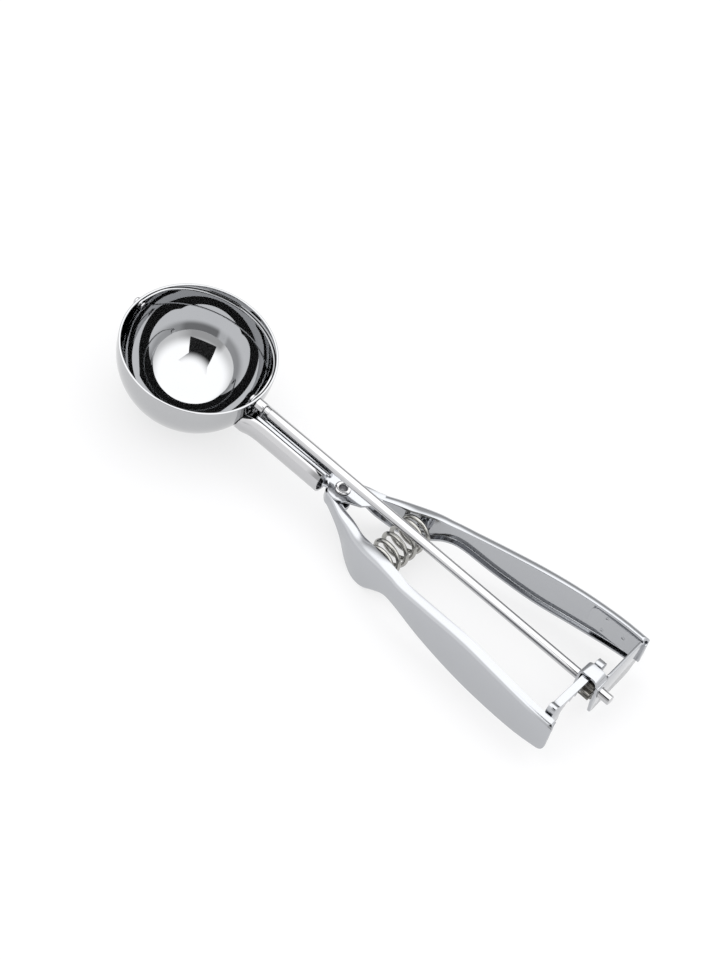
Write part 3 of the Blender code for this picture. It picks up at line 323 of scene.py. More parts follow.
STEELS = {
    "mirror_steel": steel_finish("mirror_steel", (0.48, 0.485, 0.495), 0.03, hairline=0.005),
    "polished_steel": steel_finish("polished_steel", (0.54, 0.54, 0.55), 0.08),
    "pressed_steel": steel_finish("pressed_steel", (0.47, 0.48, 0.50), 0.11),
    "spring_steel": steel_finish("spring_steel", (0.42, 0.415, 0.395), 0.20),
    "cut_steel": steel_finish("cut_steel", (0.28, 0.27, 0.25), 0.28),
}
SLOT_OF = {part["node"]: part["material_slot"] for part in frame["record"]["subparts"]}
BODY_OF = {node: body for body, nodes in frame["record"]["behaviour"]["bodies"].items() for node in nodes}
for node, slot in SLOT_OF.items():
    steel_nodes = frame["nodes"][node].data.materials
    steel_nodes.clear()
    steel_nodes.append(STEELS[slot])


# Tools

def alone(piece=None):
    """Leave edit mode and select one object, or none."""
    if bpy.context.mode != "OBJECT":
        bpy.ops.object.mode_set(mode="OBJECT")
    bpy.ops.object.select_all(action="DESELECT")
    if piece:
        piece.select_set(True)
        bpy.context.view_layer.objects.active = piece


def open_mesh(piece):
    alone(piece)
    bpy.ops.object.mode_set(mode="EDIT")
    bpy.ops.mesh.select_mode(type="VERT")
    bpy.ops.mesh.select_all(action="DESELECT")


def pick(piece, test):
    """In edit mode, select the vertices whose place passes a test, and what lies between them."""
    mesh = bmesh.from_edit_mesh(piece.data)
    for vert in mesh.verts:
        vert.select = test(vert.co)
    mesh.select_flush_mode()


def pick_from(piece, first, count=None):
    """In edit mode, select the vertices from one number on, or only some of them."""
    mesh = bmesh.from_edit_mesh(piece.data)
    for vert in mesh.verts:
        vert.select = first <= vert.index and (count is None or vert.index < first + count)
    mesh.select_flush_mode()


def follow(points):
    """Extrude the selected vertex from point to point."""
    for start, end in zip(points, points[1:]):
        bpy.ops.mesh.extrude_vertices_move(TRANSFORM_OT_translate={"value": Vector(end) - Vector(start)})


def draw_line(name, points, closed=False):
    """A line of edges through points, drawn from one vertex and left open in edit mode."""
    alone()
    bpy.ops.mesh.primitive_plane_add(size=0.001)
    line = bpy.context.active_object
    line.name = line.data.name = name
    bpy.ops.object.mode_set(mode="EDIT")
    bpy.ops.mesh.select_mode(type="VERT")
    bpy.ops.mesh.merge(type="CENTER")
    bpy.ops.transform.translate(value=Vector(points[0]))
    follow(points)
    if closed:
        last = len(points) - 1
        mesh = bmesh.from_edit_mesh(line.data)
        for vert in mesh.verts:
            vert.select = vert.index in (0, last)
        mesh.select_flush_mode()
        bpy.ops.mesh.edge_face_add()
    return line


def use(piece, kind, **settings):
    """Give the piece a modifier and apply it."""
    alone(piece)
    modifier = piece.modifiers.new(kind.lower(), kind)
    for setting, value in settings.items():
        setattr(modifier, setting, value)
    bpy.ops.object.modifier_apply(modifier=modifier.name)


def soften(piece, width, segments=3, angle=40.0):
    use(piece, "BEVEL", width=width, segments=segments, limit_method="ANGLE", angle_limit=math.radians(angle),
        use_clamp_overlap=True, miter_outer="MITER_ARC")


def combine(piece, other, operation):
    """Cut another solid from the piece, or weld it on, and throw that solid away."""
    use(piece, "BOOLEAN", operation=operation, solver="EXACT", object=other)
    bpy.data.objects.remove(other, do_unlink=True)


def settle(piece):
    """Merge doubled vertices and face the piece outwards."""
    open_mesh(piece)
    bpy.ops.mesh.select_all(action="SELECT")
    bpy.ops.mesh.remove_doubles(threshold=MERGE_WITHIN)
    bpy.ops.mesh.normals_make_consistent(inside=False)
    alone(piece)


def lathe(name, profile, closed=False):
    """Spin a profile of (radius, x) points about the rod's line."""
    piece = draw_line(name, [(x, 0.0, radius) for radius, x in profile], closed)
    bpy.ops.mesh.select_all(action="SELECT")
    bpy.ops.mesh.spin(steps=ROUND_FACETS, angle=2 * math.pi, center=(0, 0, 0), axis=(1, 0, 0))
    settle(piece)
    return piece


def plate(name, outline, thickness, place, edge=SHEET_EDGE):
    """A flat plate with softened edges: its outline filled, extruded and set down by a matrix."""
    piece = draw_line(name, [(u, v, -thickness / 2) for u, v in outline], closed=True)
    bpy.ops.mesh.select_all(action="SELECT")
    bpy.ops.mesh.edge_face_add()
    bpy.ops.mesh.extrude_region_move(TRANSFORM_OT_translate={"value": (0, 0, thickness)})
    settle(piece)
    if edge:
        soften(piece, edge, angle=50.0)
    piece.matrix_world = place
    bpy.ops.object.transform_apply()
    return piece


def rod_of(name, radius, length, centre, axis="X"):
    """A plain round rod along X or Z."""
    turn = {"X": (0, math.pi / 2, 0), "Z": (0, 0, 0)}[axis]
    alone()
    bpy.ops.mesh.primitive_cylinder_add(vertices=ROUND_FACETS, radius=radius, depth=length,
                                        location=centre, rotation=turn)
    piece = bpy.context.active_object
    piece.name = name
    bpy.ops.object.transform_apply()
    return piece


def skin(name, sections, inside):
    """A sheet over sections of equal point count, drawn in turn, bridged, facing away from inside(x)."""
    sheet = draw_line(name, sections[0])
    size = len(sections[0])
    for number in range(1, len(sections)):
        before, section = sections[number - 1], sections[number]
        pick_from(sheet, (number - 1) * size, 1)
        bpy.ops.mesh.duplicate_move(TRANSFORM_OT_translate={"value": Vector(section[0]) - Vector(before[0])})
        follow(section)
        pick_from(sheet, (number - 1) * size)
        bpy.ops.mesh.bridge_edge_loops()
    bpy.ops.mesh.select_all(action="SELECT")
    bpy.ops.mesh.normals_make_consistent(inside=False)
    mesh = bmesh.from_edit_mesh(sheet.data)
    outward = 0.0
    for face in mesh.faces:
        middle = face.calc_center_median()
        outward += face.normal.dot(middle - Vector(inside(middle.x))) * face.calc_area()
    if outward < 0:
        bpy.ops.mesh.flip_normals()
    alone(sheet)
    return sheet


def fit(piece, node, crease=32.0):
    """Set a finished piece down in the row's frame, in its node's steel, standing for that node."""
    alone(piece)
    piece.location = BOWL_CENTRE
    bpy.ops.object.transform_apply()
    bpy.ops.object.shade_smooth_by_angle(angle=math.radians(crease))
    piece.data.materials.clear()
    piece.data.materials.append(STEELS[SLOT_OF[node]])
    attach(piece, BODY_OF[node])
    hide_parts(node)
    return piece


def arc(centre, radius, start, end, count):
    """Points on an arc between two angles in degrees, both ends included."""
    points = []
    for i in range(count + 1):
        angle = math.radians(start + (end - start) * i / count)
        points.append((centre[0] + radius * math.cos(angle), centre[1] + radius * math.sin(angle)))
    return points


# Bowl, blade and rod

def make_bowl():
    """Half a sphere with a short upright rim, given its wall inwards and its two pivot holes."""
    alone()
    bpy.ops.mesh.primitive_uv_sphere_add(segments=BOWL_FACETS, ring_count=BOWL_FACETS // 2,
                                         radius=BOWL_RADIUS)
    bowl = bpy.context.active_object
    bowl.name = "bowl_shell"
    nearly = BOWL_RADIUS * 0.001
    open_mesh(bowl)
    pick(bowl, lambda place: place.z > nearly)
    bpy.ops.mesh.delete(type="VERT")
    pick(bowl, lambda place: place.z > -nearly)
    for _ in range(RIM_ROWS):
        bpy.ops.mesh.extrude_region_move(TRANSFORM_OT_translate={"value": (0, 0, RIM_RISE / RIM_ROWS)})
    use(bowl, "SOLIDIFY", thickness=BOWL_WALL, offset=-1.0, use_even_offset=True)
    soften(bowl, RIM_EDGE, segments=4, angle=60.0)
    wall_middle = BOWL_RADIUS - BOWL_WALL / 2
    for side, radius in ((1, JOURNAL_RADIUS), (-1, TIP_PIN_RADIUS)):
        drill = rod_of("drill", radius + RUN_GAP, BOWL_WALL * 4, (side * wall_middle, 0, 0))
        combine(bowl, drill, "DIFFERENCE")
    return fit(bowl, "bowl")


def blade_half_width(from_end):
    """Half the blade's width at a distance from its end: a round eye, then a smooth swell."""
    if from_end < BLADE_EYE_RADIUS:
        reach = min(BLADE_EYE_RADIUS - from_end, BLADE_EYE_RADIUS * BLADE_TIP_SHARE)
        return math.sqrt(BLADE_EYE_RADIUS ** 2 - reach ** 2)
    swell = min((from_end - BLADE_EYE_RADIUS) / BLADE_SWELL, 1.0)
    return BLADE_EYE_RADIUS + (BLADE_HALF_WIDTH - BLADE_EYE_RADIUS) * swell * swell * (3 - 2 * swell)


def make_blade():
    """A hoop cut in half, its columns narrowed to an eye at each end, then cast onto the bowl's sphere."""
    step = 2 * math.pi / BLADE_COLUMNS
    past_end = math.ceil(BLADE_EYE_RADIUS / BLADE_OUTER / step) * step
    alone()
    bpy.ops.mesh.primitive_cylinder_add(vertices=BLADE_COLUMNS, radius=BLADE_OUTER,
                                        depth=BLADE_HALF_WIDTH * 2, end_fill_type="NOTHING",
                                        rotation=(0, 0, math.pi / 2))
    blade = bpy.context.active_object
    blade.name = "scraping_blade"
    bpy.ops.object.transform_apply()
    open_mesh(blade)

    def longitude(place):
        return (math.atan2(place.y, place.x) + math.pi / 2) % (2 * math.pi) - math.pi / 2

    pick(blade, lambda place: not -past_end - step / 2 < longitude(place) < math.pi + past_end + step / 2)
    bpy.ops.mesh.delete(type="VERT")
    bpy.ops.mesh.select_mode(type="EDGE")
    mesh = bmesh.from_edit_mesh(blade.data)
    for edge in mesh.edges:
        edge.select_set(abs(edge.verts[0].co.z - edge.verts[1].co.z) > BLADE_HALF_WIDTH)
    bpy.ops.mesh.subdivide(number_cuts=BLADE_ROWS - 1)
    bpy.ops.mesh.select_mode(type="VERT")
    taper = round((BLADE_EYE_RADIUS + BLADE_SWELL) / BLADE_OUTER / step)
    for number in range(taper + 1):
        half = blade_half_width(number * step * BLADE_OUTER)
        for column in (-past_end + number * step, math.pi + past_end - number * step):
            pick(blade, lambda place: abs(longitude(place) - column) < step / 2)
            bpy.ops.transform.resize(value=(1, 1, half / BLADE_HALF_WIDTH), center_override=(0, 0, 0))
    use(blade, "CAST", cast_type="SPHERE", factor=1.0, size=BLADE_OUTER, radius=0.0)
    use(blade, "SOLIDIFY", thickness=BLADE_SHEET, offset=-1.0, use_even_offset=True)
    soften(blade, BLADE_EDGE, segments=2, angle=60.0)
    middle = (BLADE_OUTER + BLADE_INNER) / 2
    for side, radius in ((1, JOURNAL_RADIUS), (-1, TIP_PIN_RADIUS)):
        drill = rod_of("drill", radius + PRESS_GAP, BLADE_SHEET * 4, (side * middle, 0, 0))
        combine(blade, drill, "DIFFERENCE")
    blade.rotation_euler = (-BLADE_REST_DROP, 0, 0)
    alone(blade)
    bpy.ops.object.transform_apply()
    return fit(blade, "blade")


def make_tip_pin():
    """The far pivot: a rivet with a domed head outside and a flat one inside the blade."""
    shank_end = BLADE_INNER - RUN_GAP
    inner_end = shank_end - TIP_HEAD_DEPTH / 2
    outer_start = BOWL_RADIUS + SEAT_GAP
    straight = TIP_HEAD_DEPTH * 0.3
    dome_rise = TIP_HEAD_DEPTH - straight
    profile = []
    for angle in range(90, -1, -15):
        turn = math.radians(angle)
        reach = outer_start + straight + dome_rise * math.sin(turn)
        profile.append((TIP_HEAD_RADIUS * math.cos(turn), -reach))
    soft = TURNED_EDGE
    profile += [(TIP_HEAD_RADIUS, -outer_start), (TIP_PIN_RADIUS, -outer_start), (TIP_PIN_RADIUS, -shank_end),
                (TIP_HEAD_RADIUS - soft, -shank_end), (TIP_HEAD_RADIUS, -shank_end + soft),
                (TIP_HEAD_RADIUS, -inner_end - soft), (TIP_HEAD_RADIUS - soft, -inner_end), (0.0, -inner_end)]
    return fit(lathe("tip_rivet", profile), "blade_tip_pin")


def make_rod():
    """The rod: a riveted head inside the blade's eye, a thin journal through the wall, then the full rod."""
    head_start = BLADE_INNER - SEAT_GAP
    head_end = head_start - ROD_HEAD_DEPTH
    soft = ROD_CHAMFER
    riveted_head = [(0.0, head_end - soft * 0.2), (JOURNAL_RADIUS * 0.6, head_end - soft * 0.1),
                    (JOURNAL_RADIUS, head_end), (ROD_RADIUS - soft * 0.3, head_end + soft * 0.3),
                    (ROD_RADIUS, head_end + soft * 0.8), (ROD_RADIUS, head_start),
                    (JOURNAL_RADIUS, head_start)]
    shoulder = [(JOURNAL_RADIUS, ROD_SHOULDER_X), (ROD_RADIUS - soft * 0.3, ROD_SHOULDER_X + soft * 0.4),
                (ROD_RADIUS, ROD_SHOULDER_X + soft)]
    spans = 8
    straight = ROD_END_X - ROD_SHOULDER_X - soft * 2
    shaft = [(ROD_RADIUS, ROD_SHOULDER_X + soft + straight * i / spans) for i in range(1, spans)]
    free_end = [(ROD_RADIUS - soft * (1 - math.cos(turn)), ROD_END_X - soft * (1 - math.sin(turn)))
                for turn in (math.radians(30 * i) for i in range(4))]
    profile = riveted_head + shoulder + shaft + free_end + [(0.0, ROD_END_X)]
    return fit(lathe("turned_rod", profile), "drive_rod")


def make_sleeve():
    """The collar round the journal, its outer end rounded over."""
    outer = SLEEVE_BORE + SLEEVE_WALL
    end = SLEEVE_START_X + SLEEVE_LENGTH
    round_over = SLEEVE_WALL * 0.6
    profile = [(SLEEVE_BORE, SLEEVE_START_X), (outer, SLEEVE_START_X), (outer, end - round_over)]
    profile += [(outer - round_over * (1 - math.cos(turn)), end - round_over * (1 - math.sin(turn)))
                for turn in (math.radians(22.5 * i) for i in range(1, 5))]
    profile += [(SLEEVE_BORE + TURNED_EDGE / 2, end), (SLEEVE_BORE, end - TURNED_EDGE / 2)]
    return fit(lathe("rod_collar", profile, closed=True), "rod_sleeve")


# Neck

def neck_section(x):
    """One section of the neck at x, from lip to lip below the rod, wider and deeper near the bowl."""
    reach = min(max(0.0, (BOWL_RADIUS + SADDLE_LENGTH - x) / SADDLE_LENGTH), 1.0)
    spread = reach ** SADDLE_FLARE
    half = NECK_RADIUS + (SADDLE_HALF_WIDTH - NECK_RADIUS) * spread
    depth = NECK_RADIUS + (SADDLE_DEPTH - NECK_RADIUS) * spread
    rise = NECK_RADIUS + (SADDLE_RISE - NECK_RADIUS) * spread
    count = 30
    section = []
    for i in range(count + 1):
        angle = math.pi / 2 - NECK_MOUTH - (2 * math.pi - 2 * NECK_MOUTH) * i / count
        vertical = rise if math.sin(angle) > 0 else depth
        section.append((x, half * math.cos(angle), -NECK_DROP + vertical * math.sin(angle)))
    return section


def dimple(piece, place, radius, depth):
    """A shallow round hollow, cut by the cap of a larger ball; place is on the surface, with the way out."""
    point, outward = Vector(place[0]), Vector(place[1]).normalized()
    ball_radius = (radius * radius + depth * depth) / (2 * depth)
    alone()
    bpy.ops.mesh.primitive_uv_sphere_add(segments=48, ring_count=32, radius=ball_radius,
                                         location=point + outward * (ball_radius - depth))
    ball = bpy.context.active_object
    bpy.ops.object.transform_apply()
    combine(piece, ball, "DIFFERENCE")


def make_neck():
    """The neck: a trough of sheet, cut to the bowl's ball and round the collar."""
    start = BOWL_RADIUS * SADDLE_FOOT
    saddle_end = BOWL_RADIUS + SADDLE_LENGTH
    steps = 16
    stations = [start + (saddle_end - start) * i / steps for i in range(steps + 1)]
    stations += [saddle_end + (NECK_END_X - saddle_end) * i / 4 for i in range(1, 5)]
    neck = skin("neck_pressing", [neck_section(x) for x in stations], lambda x: (x, 0, -NECK_DROP))
    use(neck, "SOLIDIFY", thickness=NECK_WALL, offset=-1.0, use_even_offset=True)
    soften(neck, SHEET_EDGE, segments=3, angle=60.0)
    alone()
    bpy.ops.mesh.primitive_uv_sphere_add(segments=BALL_FACETS, ring_count=BALL_FACETS // 2,
                                         radius=BOWL_RADIUS + SEAT_GAP)
    combine(neck, bpy.context.active_object, "DIFFERENCE")
    room = rod_of("room", SLEEVE_BORE + SLEEVE_WALL + SEAT_GAP, SLEEVE_LENGTH + SLEEVE_ROOM,
                  (SLEEVE_START_X + SLEEVE_LENGTH / 2, 0, 0))
    combine(neck, room, "DIFFERENCE")
    return fit(neck, "neck_tube")


# Handles

def smooth_rows(rows, pieces):
    """Rows of numbers along one smooth curve through the given rows."""
    result = []
    last = len(rows) - 1
    for i in range(last):
        before, start, end, after = rows[max(i - 1, 0)], rows[i], rows[i + 1], rows[min(i + 2, last)]
        for step in range(pieces):
            t = step / pieces
            row = []
            for a, b, c, d in zip(before, start, end, after):
                row.append(0.5 * (2 * b + (c - a) * t + (2 * a - 5 * b + 4 * c - d) * t * t
                                  + (3 * b - a - 3 * c + d) * t ** 3))
            result.append(row)
    result.append(list(rows[last]))
    return result


def between(first, second, share, across, top, bottom):
    """A row of the handle between two knots: shares of the way along, across, up its top and bottom."""
    shares = (share, across, top, bottom, share)
    return tuple(a + (b - a) * part for a, b, part in zip(first, second, shares))


def handle_rows(front_top, front_bottom):
    """The handle's wall from nose to end, as rows of x, spread, top edge, bottom edge and flange width."""
    rows = []
    for angle in (168.0, 145.0, 120.0, 97.0):
        turn = math.radians(angle)
        rows.append((PIVOT_X + NOSE_RADIUS * math.cos(turn), NOSE_RADIUS * math.sin(turn), front_top,
                     front_bottom, NOSE_FLANGE))
    nose = (PIVOT_X, NOSE_RADIUS, front_top, front_bottom, NOSE_FLANGE)
    stop_x = PIVOT_X + FINGER_STOP_REACH
    stop = (stop_x, FINGER_STOP_SPREAD, FINGER_STOP_TOP, FINGER_STOP_BOTTOM, FRONT_FLANGE)
    dip = (PIVOT_X + DIP_REACH, DIP_SPREAD, DIP_TOP, DIP_BOTTOM, GRIP_FLANGE)
    grip = (PIVOT_X + GRIP_REACH, GRIP_SPREAD, GRIP_TOP, GRIP_BOTTOM, GRIP_FLANGE)
    end = (HANDLE_END_X, HANDLE_END_SPREAD, HANDLE_END_TOP, HANDLE_END_BOTTOM, END_FLANGE)
    rows.append(between(nose, stop, 0.25, 0.30, 0.01, 0.07))
    rows.append(between(nose, stop, 0.49, 0.49, 0.06, 0.41))
    rows.append(between(nose, stop, 0.74, 0.77, 0.31, 0.79))
    rows.append(stop)
    rows.append(between(stop, dip, 0.25, 0.29, 0.39, 0.12))
    rows.append(between(stop, dip, 0.48, 0.51, 0.70, 0.54))
    rows.append(between(stop, dip, 0.71, 0.71, 0.84, 0.91))
    rows.append(dip)
    rows.append(between(dip, grip, 0.45, 0.48, 0.47, 0.72))
    rows.append(grip)
    rows.append(between(grip, end, 0.36, 0.57, 0.83, 0.24))
    rows.append(between(grip, end, 0.72, 0.97, 1.01, 0.61))
    rows.append(end)
    return rows


def wall_row_at(x):
    """The row of the right handle's wall at x, behind the pivot."""
    rows = smooth_rows(handle_rows(PLATE_TOP, RIGHT_FRONT_BOTTOM), 2)
    path = [row for row in rows if row[1] > NOSE_RADIUS * 0.9]
    if x < path[0][0]:
        return path[0]
    for first, second in zip(path, path[1:]):
        if first[0] <= x <= second[0]:
            share = (x - first[0]) / (second[0] - first[0])
            return tuple(a + (b - a) * share for a, b in zip(first, second))
    return path[-1]


def wall_spread_at(x):
    return wall_row_at(x)[1]


def wall_slope_at(x):
    """The angle of the handle's wall from the rod's line at x."""
    step = 0.001
    return math.atan2(wall_spread_at(x + step) - wall_spread_at(x - step), 2 * step)


def handle_section(row, inward, side):
    """The channel's section on the wall at one row: flange, round edge, wall, round edge, flange."""
    x, spread, top, bottom, flange = row
    upper_radius = min(UPPER_EDGE_RADIUS, (top - bottom) * UPPER_EDGE_SHARE)
    lower_radius = min(LOWER_EDGE_RADIUS, (top - bottom) * LOWER_EDGE_SHARE)
    fall = FLANGE_FALL * min(max((x - PIVOT_X) / FINGER_STOP_REACH, 0.0), 1.0)
    run = flange - upper_radius * (1 - math.sin(fall))
    centre = (upper_radius, top - upper_radius * math.cos(fall) - run * math.tan(fall))
    upper = [(flange, top)] + arc(centre, upper_radius, 90 + math.degrees(fall), 180, 7)
    lower = arc((lower_radius, bottom + lower_radius), lower_radius, 180, 270, 4) + [(LOWER_FLANGE, bottom)]
    return [(x + inward[0] * depth, side * (spread + inward[1] * depth), z) for depth, z in upper + lower]


def handle_shell(name, side, front_top, front_bottom):
    """The pressed channel of one handle, its end squared off with two rounded corners."""
    path = smooth_rows(handle_rows(front_top, front_bottom), HANDLE_STEPS)
    last = len(path) - 1
    sections = []
    for i, row in enumerate(path):
        ahead, behind = path[min(i + ROWS_APART, last)], path[max(i - ROWS_APART, 0)]
        dx, dy = ahead[0] - behind[0], ahead[1] - behind[1]
        length = math.hypot(dx, dy)
        sections.append(handle_section(row, (dy / length, -dx / length), side))
    shell = skin(name, sections, lambda x: (x, 0, (front_top + front_bottom) / 2))
    use(shell, "SOLIDIFY", thickness=SHEET, offset=-1.0, use_even_offset=True)
    round_off_end(shell, side)
    soften(shell, SHEET_EDGE, segments=2, angle=55.0)
    return shell


def round_off_end(handle, side):
    """Cut the two rounded corners of a handle's end through its wall and flanges."""
    side_view = Matrix(((1, 0, 0, 0), (0, 0, -1, side * HANDLE_END_SPREAD), (0, 1, 0, 0), (0, 0, 0, 1)))
    past_end = HANDLE_END_X + SHEET
    corners = ((END_CORNER, HANDLE_END_BOTTOM, 1), (END_TOP_CORNER, HANDLE_END_TOP, -1))
    for radius, edge, way in corners:
        centre = (HANDLE_END_X - radius, edge + way * radius)
        beyond = edge - way * radius
        outline = arc(centre, radius, -90 * way, -5 * way, 12)
        outline += [(past_end, centre[1]), (past_end, beyond), (centre[0], beyond)]
        combine(handle, plate("corner_waste", outline, END_CUT_WIDTH, side_view, edge=0), "DIFFERENCE")


def spring_stud(side):
    """The stud on a handle's inner wall that keeps the spring's end in place, square to the wall."""
    length = STUD_LENGTH + SHEET / 2
    slope = wall_slope_at(SPRING_X)
    foot = Vector((SPRING_X, side * (wall_spread_at(SPRING_X) - SHEET / 2), -SPRING_DROP))
    turn = Matrix.Rotation(side * slope, 4, "Z") @ Matrix.Rotation(side * math.pi / 2, 4, "X")
    alone()
    bpy.ops.mesh.primitive_cone_add(vertices=STUD_FACETS, radius1=STUD_RADIUS,
                                    radius2=STUD_RADIUS * STUD_TAPER, depth=length)
    stud = bpy.context.active_object
    soften(stud, STUD_EDGE, angle=60.0)
    stud.matrix_world = Matrix.Translation(foot) @ turn @ Matrix.Translation((0, 0, length / 2))
    bpy.ops.object.transform_apply()
    return stud


def pivot_tab(z_top):
    """A round tab about the pivot, level with a handle's flange."""
    return rod_of("tab", NOSE_RADIUS - SHEET - RUN_GAP * 2, SHEET, (PIVOT_X, 0, z_top - SHEET / 2), "Z")


def drill_for_rivet(handle):
    middle = (PLATE_TOP + RIGHT_FRONT_BOTTOM) / 2
    length = PLATE_TOP - RIGHT_FRONT_BOTTOM + SHEET * 4
    combine(handle, rod_of("drill", RIVET_RADIUS + RUN_GAP, length, (PIVOT_X, 0, middle), "Z"), "DIFFERENCE")


def make_left_handle():
    handle = handle_shell("left_channel", -1, LEFT_FRONT_TOP, LEFT_FRONT_BOTTOM)
    combine(handle, spring_stud(-1), "UNION")
    combine(handle, pivot_tab(LEFT_FRONT_TOP), "UNION")
    combine(handle, pivot_tab(LEFT_FRONT_BOTTOM + SHEET), "UNION")
    drill_for_rivet(handle)
    return fit(handle, "left_handle")


def tang_section():
    """The tang's trough inside the neck: a U of sheet whose two edges reach the tube's inside."""
    reach = NECK_RADIUS - NECK_WALL - SEAT_GAP
    outer = TROUGH_HALF_WIDTH + TROUGH_WALL
    floor_top = PLATE_TOP - TROUGH_SINK
    inner_edge = math.sqrt(reach ** 2 - TROUGH_HALF_WIDTH ** 2) - NECK_DROP
    outer_edge = math.sqrt(reach ** 2 - outer ** 2) - NECK_DROP
    depth = inner_edge - floor_top
    bend = TROUGH_BEND
    inside = [(TROUGH_HALF_WIDTH * u, inner_edge + depth * v) for u, v in arc((0, 0), 1.0, 0, -180, 36)]
    right_bend = arc((outer - bend, floor_top - SHEET + bend), bend, -90, 0, 8)
    left_bend = [(-y, z) for y, z in reversed(right_bend)]
    return inside + [(-outer, outer_edge)] + left_bend + right_bend + [(outer, outer_edge)]


def pivot_plate_outline():
    """The flat plate from the tang, round the pivot and over to the right handle's wall."""
    round_end = arc((PIVOT_X, 0), NOSE_RADIUS - SEAT_GAP * 2 / 3, 222, 318, 24)
    stop_x = PIVOT_X + FINGER_STOP_REACH * PLATE_END_SHARE
    lap = SHEET + PLATE_LAP
    outer = []
    for share in (1.0, 0.66, 0.33, 0.05):
        x = PIVOT_X + (stop_x - PIVOT_X) * share
        outer.append((x, wall_spread_at(x) - lap))
    front = arc((PIVOT_X, 0), NOSE_RADIUS - lap, 100, 146, 6)
    start, mouth = NECK_END_X - PLATE_HALF_WIDTH, NECK_END_X + PLATE_LAP
    near = [(start, -PLATE_NECK_HALF_WIDTH), (mouth, -PLATE_NECK_HALF_WIDTH)]
    near.append((mouth + PLATE_LAP, -PLATE_HALF_WIDTH))
    far = [(x, -y) for x, y in reversed(near)]
    inner = [(PIVOT_X + reach, y) for reach, y in PLATE_INNER_EDGE]
    return near + round_end + inner + outer + front + far


def across_x(x, turn=0.0):
    """A frame for outlines drawn in Y and Z, with the plate's middle at x, turned about Z at y = 0."""
    basis = Matrix(((0, 0, 1, x), (1, 0, 0, 0), (0, 1, 0, 0), (0, 0, 0, 1)))
    pivot = Matrix.Translation((x, 0, 0))
    return pivot @ Matrix.Rotation(turn, 4, "Z") @ pivot.inverted() @ basis


def make_right_handle():
    handle = handle_shell("right_channel", 1, PLATE_TOP, RIGHT_FRONT_BOTTOM)
    combine(handle, spring_stud(1), "UNION")
    level = Matrix.Translation((0, 0, PLATE_TOP - SHEET / 2))
    combine(handle, plate("pivot_plate", pivot_plate_outline(), SHEET, level), "UNION")
    tang_length = NECK_END_X + PLATE_LAP - TANG_START_X
    trough = plate("tang_trough", tang_section(), tang_length, across_x(TANG_START_X + tang_length / 2))
    combine(handle, trough, "UNION")
    combine(handle, pivot_tab(RIGHT_FRONT_BOTTOM + SHEET), "UNION")
    drill_for_rivet(handle)
    return fit(handle, "right_handle")


def make_rivet():
    """The tubular rivet: a rolled head above and below its hollow shank."""
    top = PLATE_TOP + SEAT_GAP
    bottom = RIGHT_FRONT_BOTTOM - SEAT_GAP
    wide = (RIVET_HEAD_RADIUS - RIVET_BORE) / 2
    middle = RIVET_BORE + wide
    profile = []
    for level, way in ((top, 1), (bottom, -1)):
        roll = [(middle + wide * math.cos(turn), level + way * RIVET_HEAD_DEPTH * math.sin(turn))
                for turn in (math.radians(15 * i) for i in range(13))]
        profile += roll[::-1] + [(RIVET_RADIUS, level)] if way > 0 else [(RIVET_RADIUS, level)] + roll
    rivet = lathe("tubular_rivet", [(radius, -z) for radius, z in profile], closed=True)
    rivet.rotation_euler = (0, math.pi / 2, 0)
    rivet.location = (PIVOT_X, 0, 0)
    alone(rivet)
    bpy.ops.object.transform_apply()
    return fit(rivet, "pivot_rivet")


# Spring

def spring_points(per_turn):
    """The coil's centre line along Y: closer turns at the ends, each end bent out square to its wall."""
    wire_x = SPRING_X - SPRING_RADIUS
    slope = wall_slope_at(wire_x)
    to_wall = Vector((-math.sin(slope), math.cos(slope), 0))
    wall_y = wall_spread_at(wire_x) - SHEET / math.cos(slope)
    coil_end = wall_y - (SEAT_GAP + SPRING_WIRE + SPRING_END_BEND) / math.cos(slope)
    end_turns = 1.0
    free_pitch = (2 * coil_end - 2 * end_turns * SPRING_END_PITCH) / (SPRING_TURNS - 2 * end_turns)
    points = []
    y = -coil_end
    for i in range(round(SPRING_TURNS * per_turn) + 1):
        angle = math.pi + 2 * math.pi * i / per_turn
        points.append(Vector((SPRING_RADIUS * math.cos(angle), y, SPRING_RADIUS * math.sin(angle))))
        turns_done = (i + 0.5) / per_turn
        closed = min(turns_done, SPRING_TURNS - turns_done) < end_turns
        y += (SPRING_END_PITCH if closed else free_pitch) / per_turn
    tail = []
    for angle in (15, 30, 45, 60, 75, 90):
        turn = math.radians(angle)
        fall = Vector((0, 0, -SPRING_END_BEND * math.sin(turn)))
        tail.append(fall + to_wall * (SPRING_END_BEND * (1 - math.cos(turn))))
    tail.append(tail[-1] + to_wall * SPRING_WIRE)
    first, last = points[0].copy(), points[-1].copy()
    points += [last + step for step in tail]
    for step in tail:
        points.insert(0, first + Vector((step.x, -step.y, -step.z)))
    return points


def make_spring():
    """The coil between the handles, a fixed mesh at rest; the real spring shortens as they close."""
    curve = bpy.data.curves.new("coil_spring", "CURVE")
    curve.dimensions = "3D"
    curve.bevel_depth = SPRING_WIRE / 2
    curve.bevel_resolution = 4
    curve.use_fill_caps = True
    points = spring_points(40)
    spline = curve.splines.new("POLY")
    spline.points.add(len(points) - 1)
    for target, point in zip(spline.points, points):
        target.co = (*point, 1.0)
    spring = bpy.data.objects.new("coil_spring", curve)
    bpy.context.scene.collection.objects.link(spring)
    spring.location = (SPRING_X, 0, -SPRING_DROP)
    alone(spring)
    bpy.ops.object.convert(target="MESH")
    bpy.ops.object.transform_apply()
    fit(spring, "handle_spring")
    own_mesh(spring)
    return spring


# Rack and pinion

def involute(angle):
    return math.tan(angle) - angle


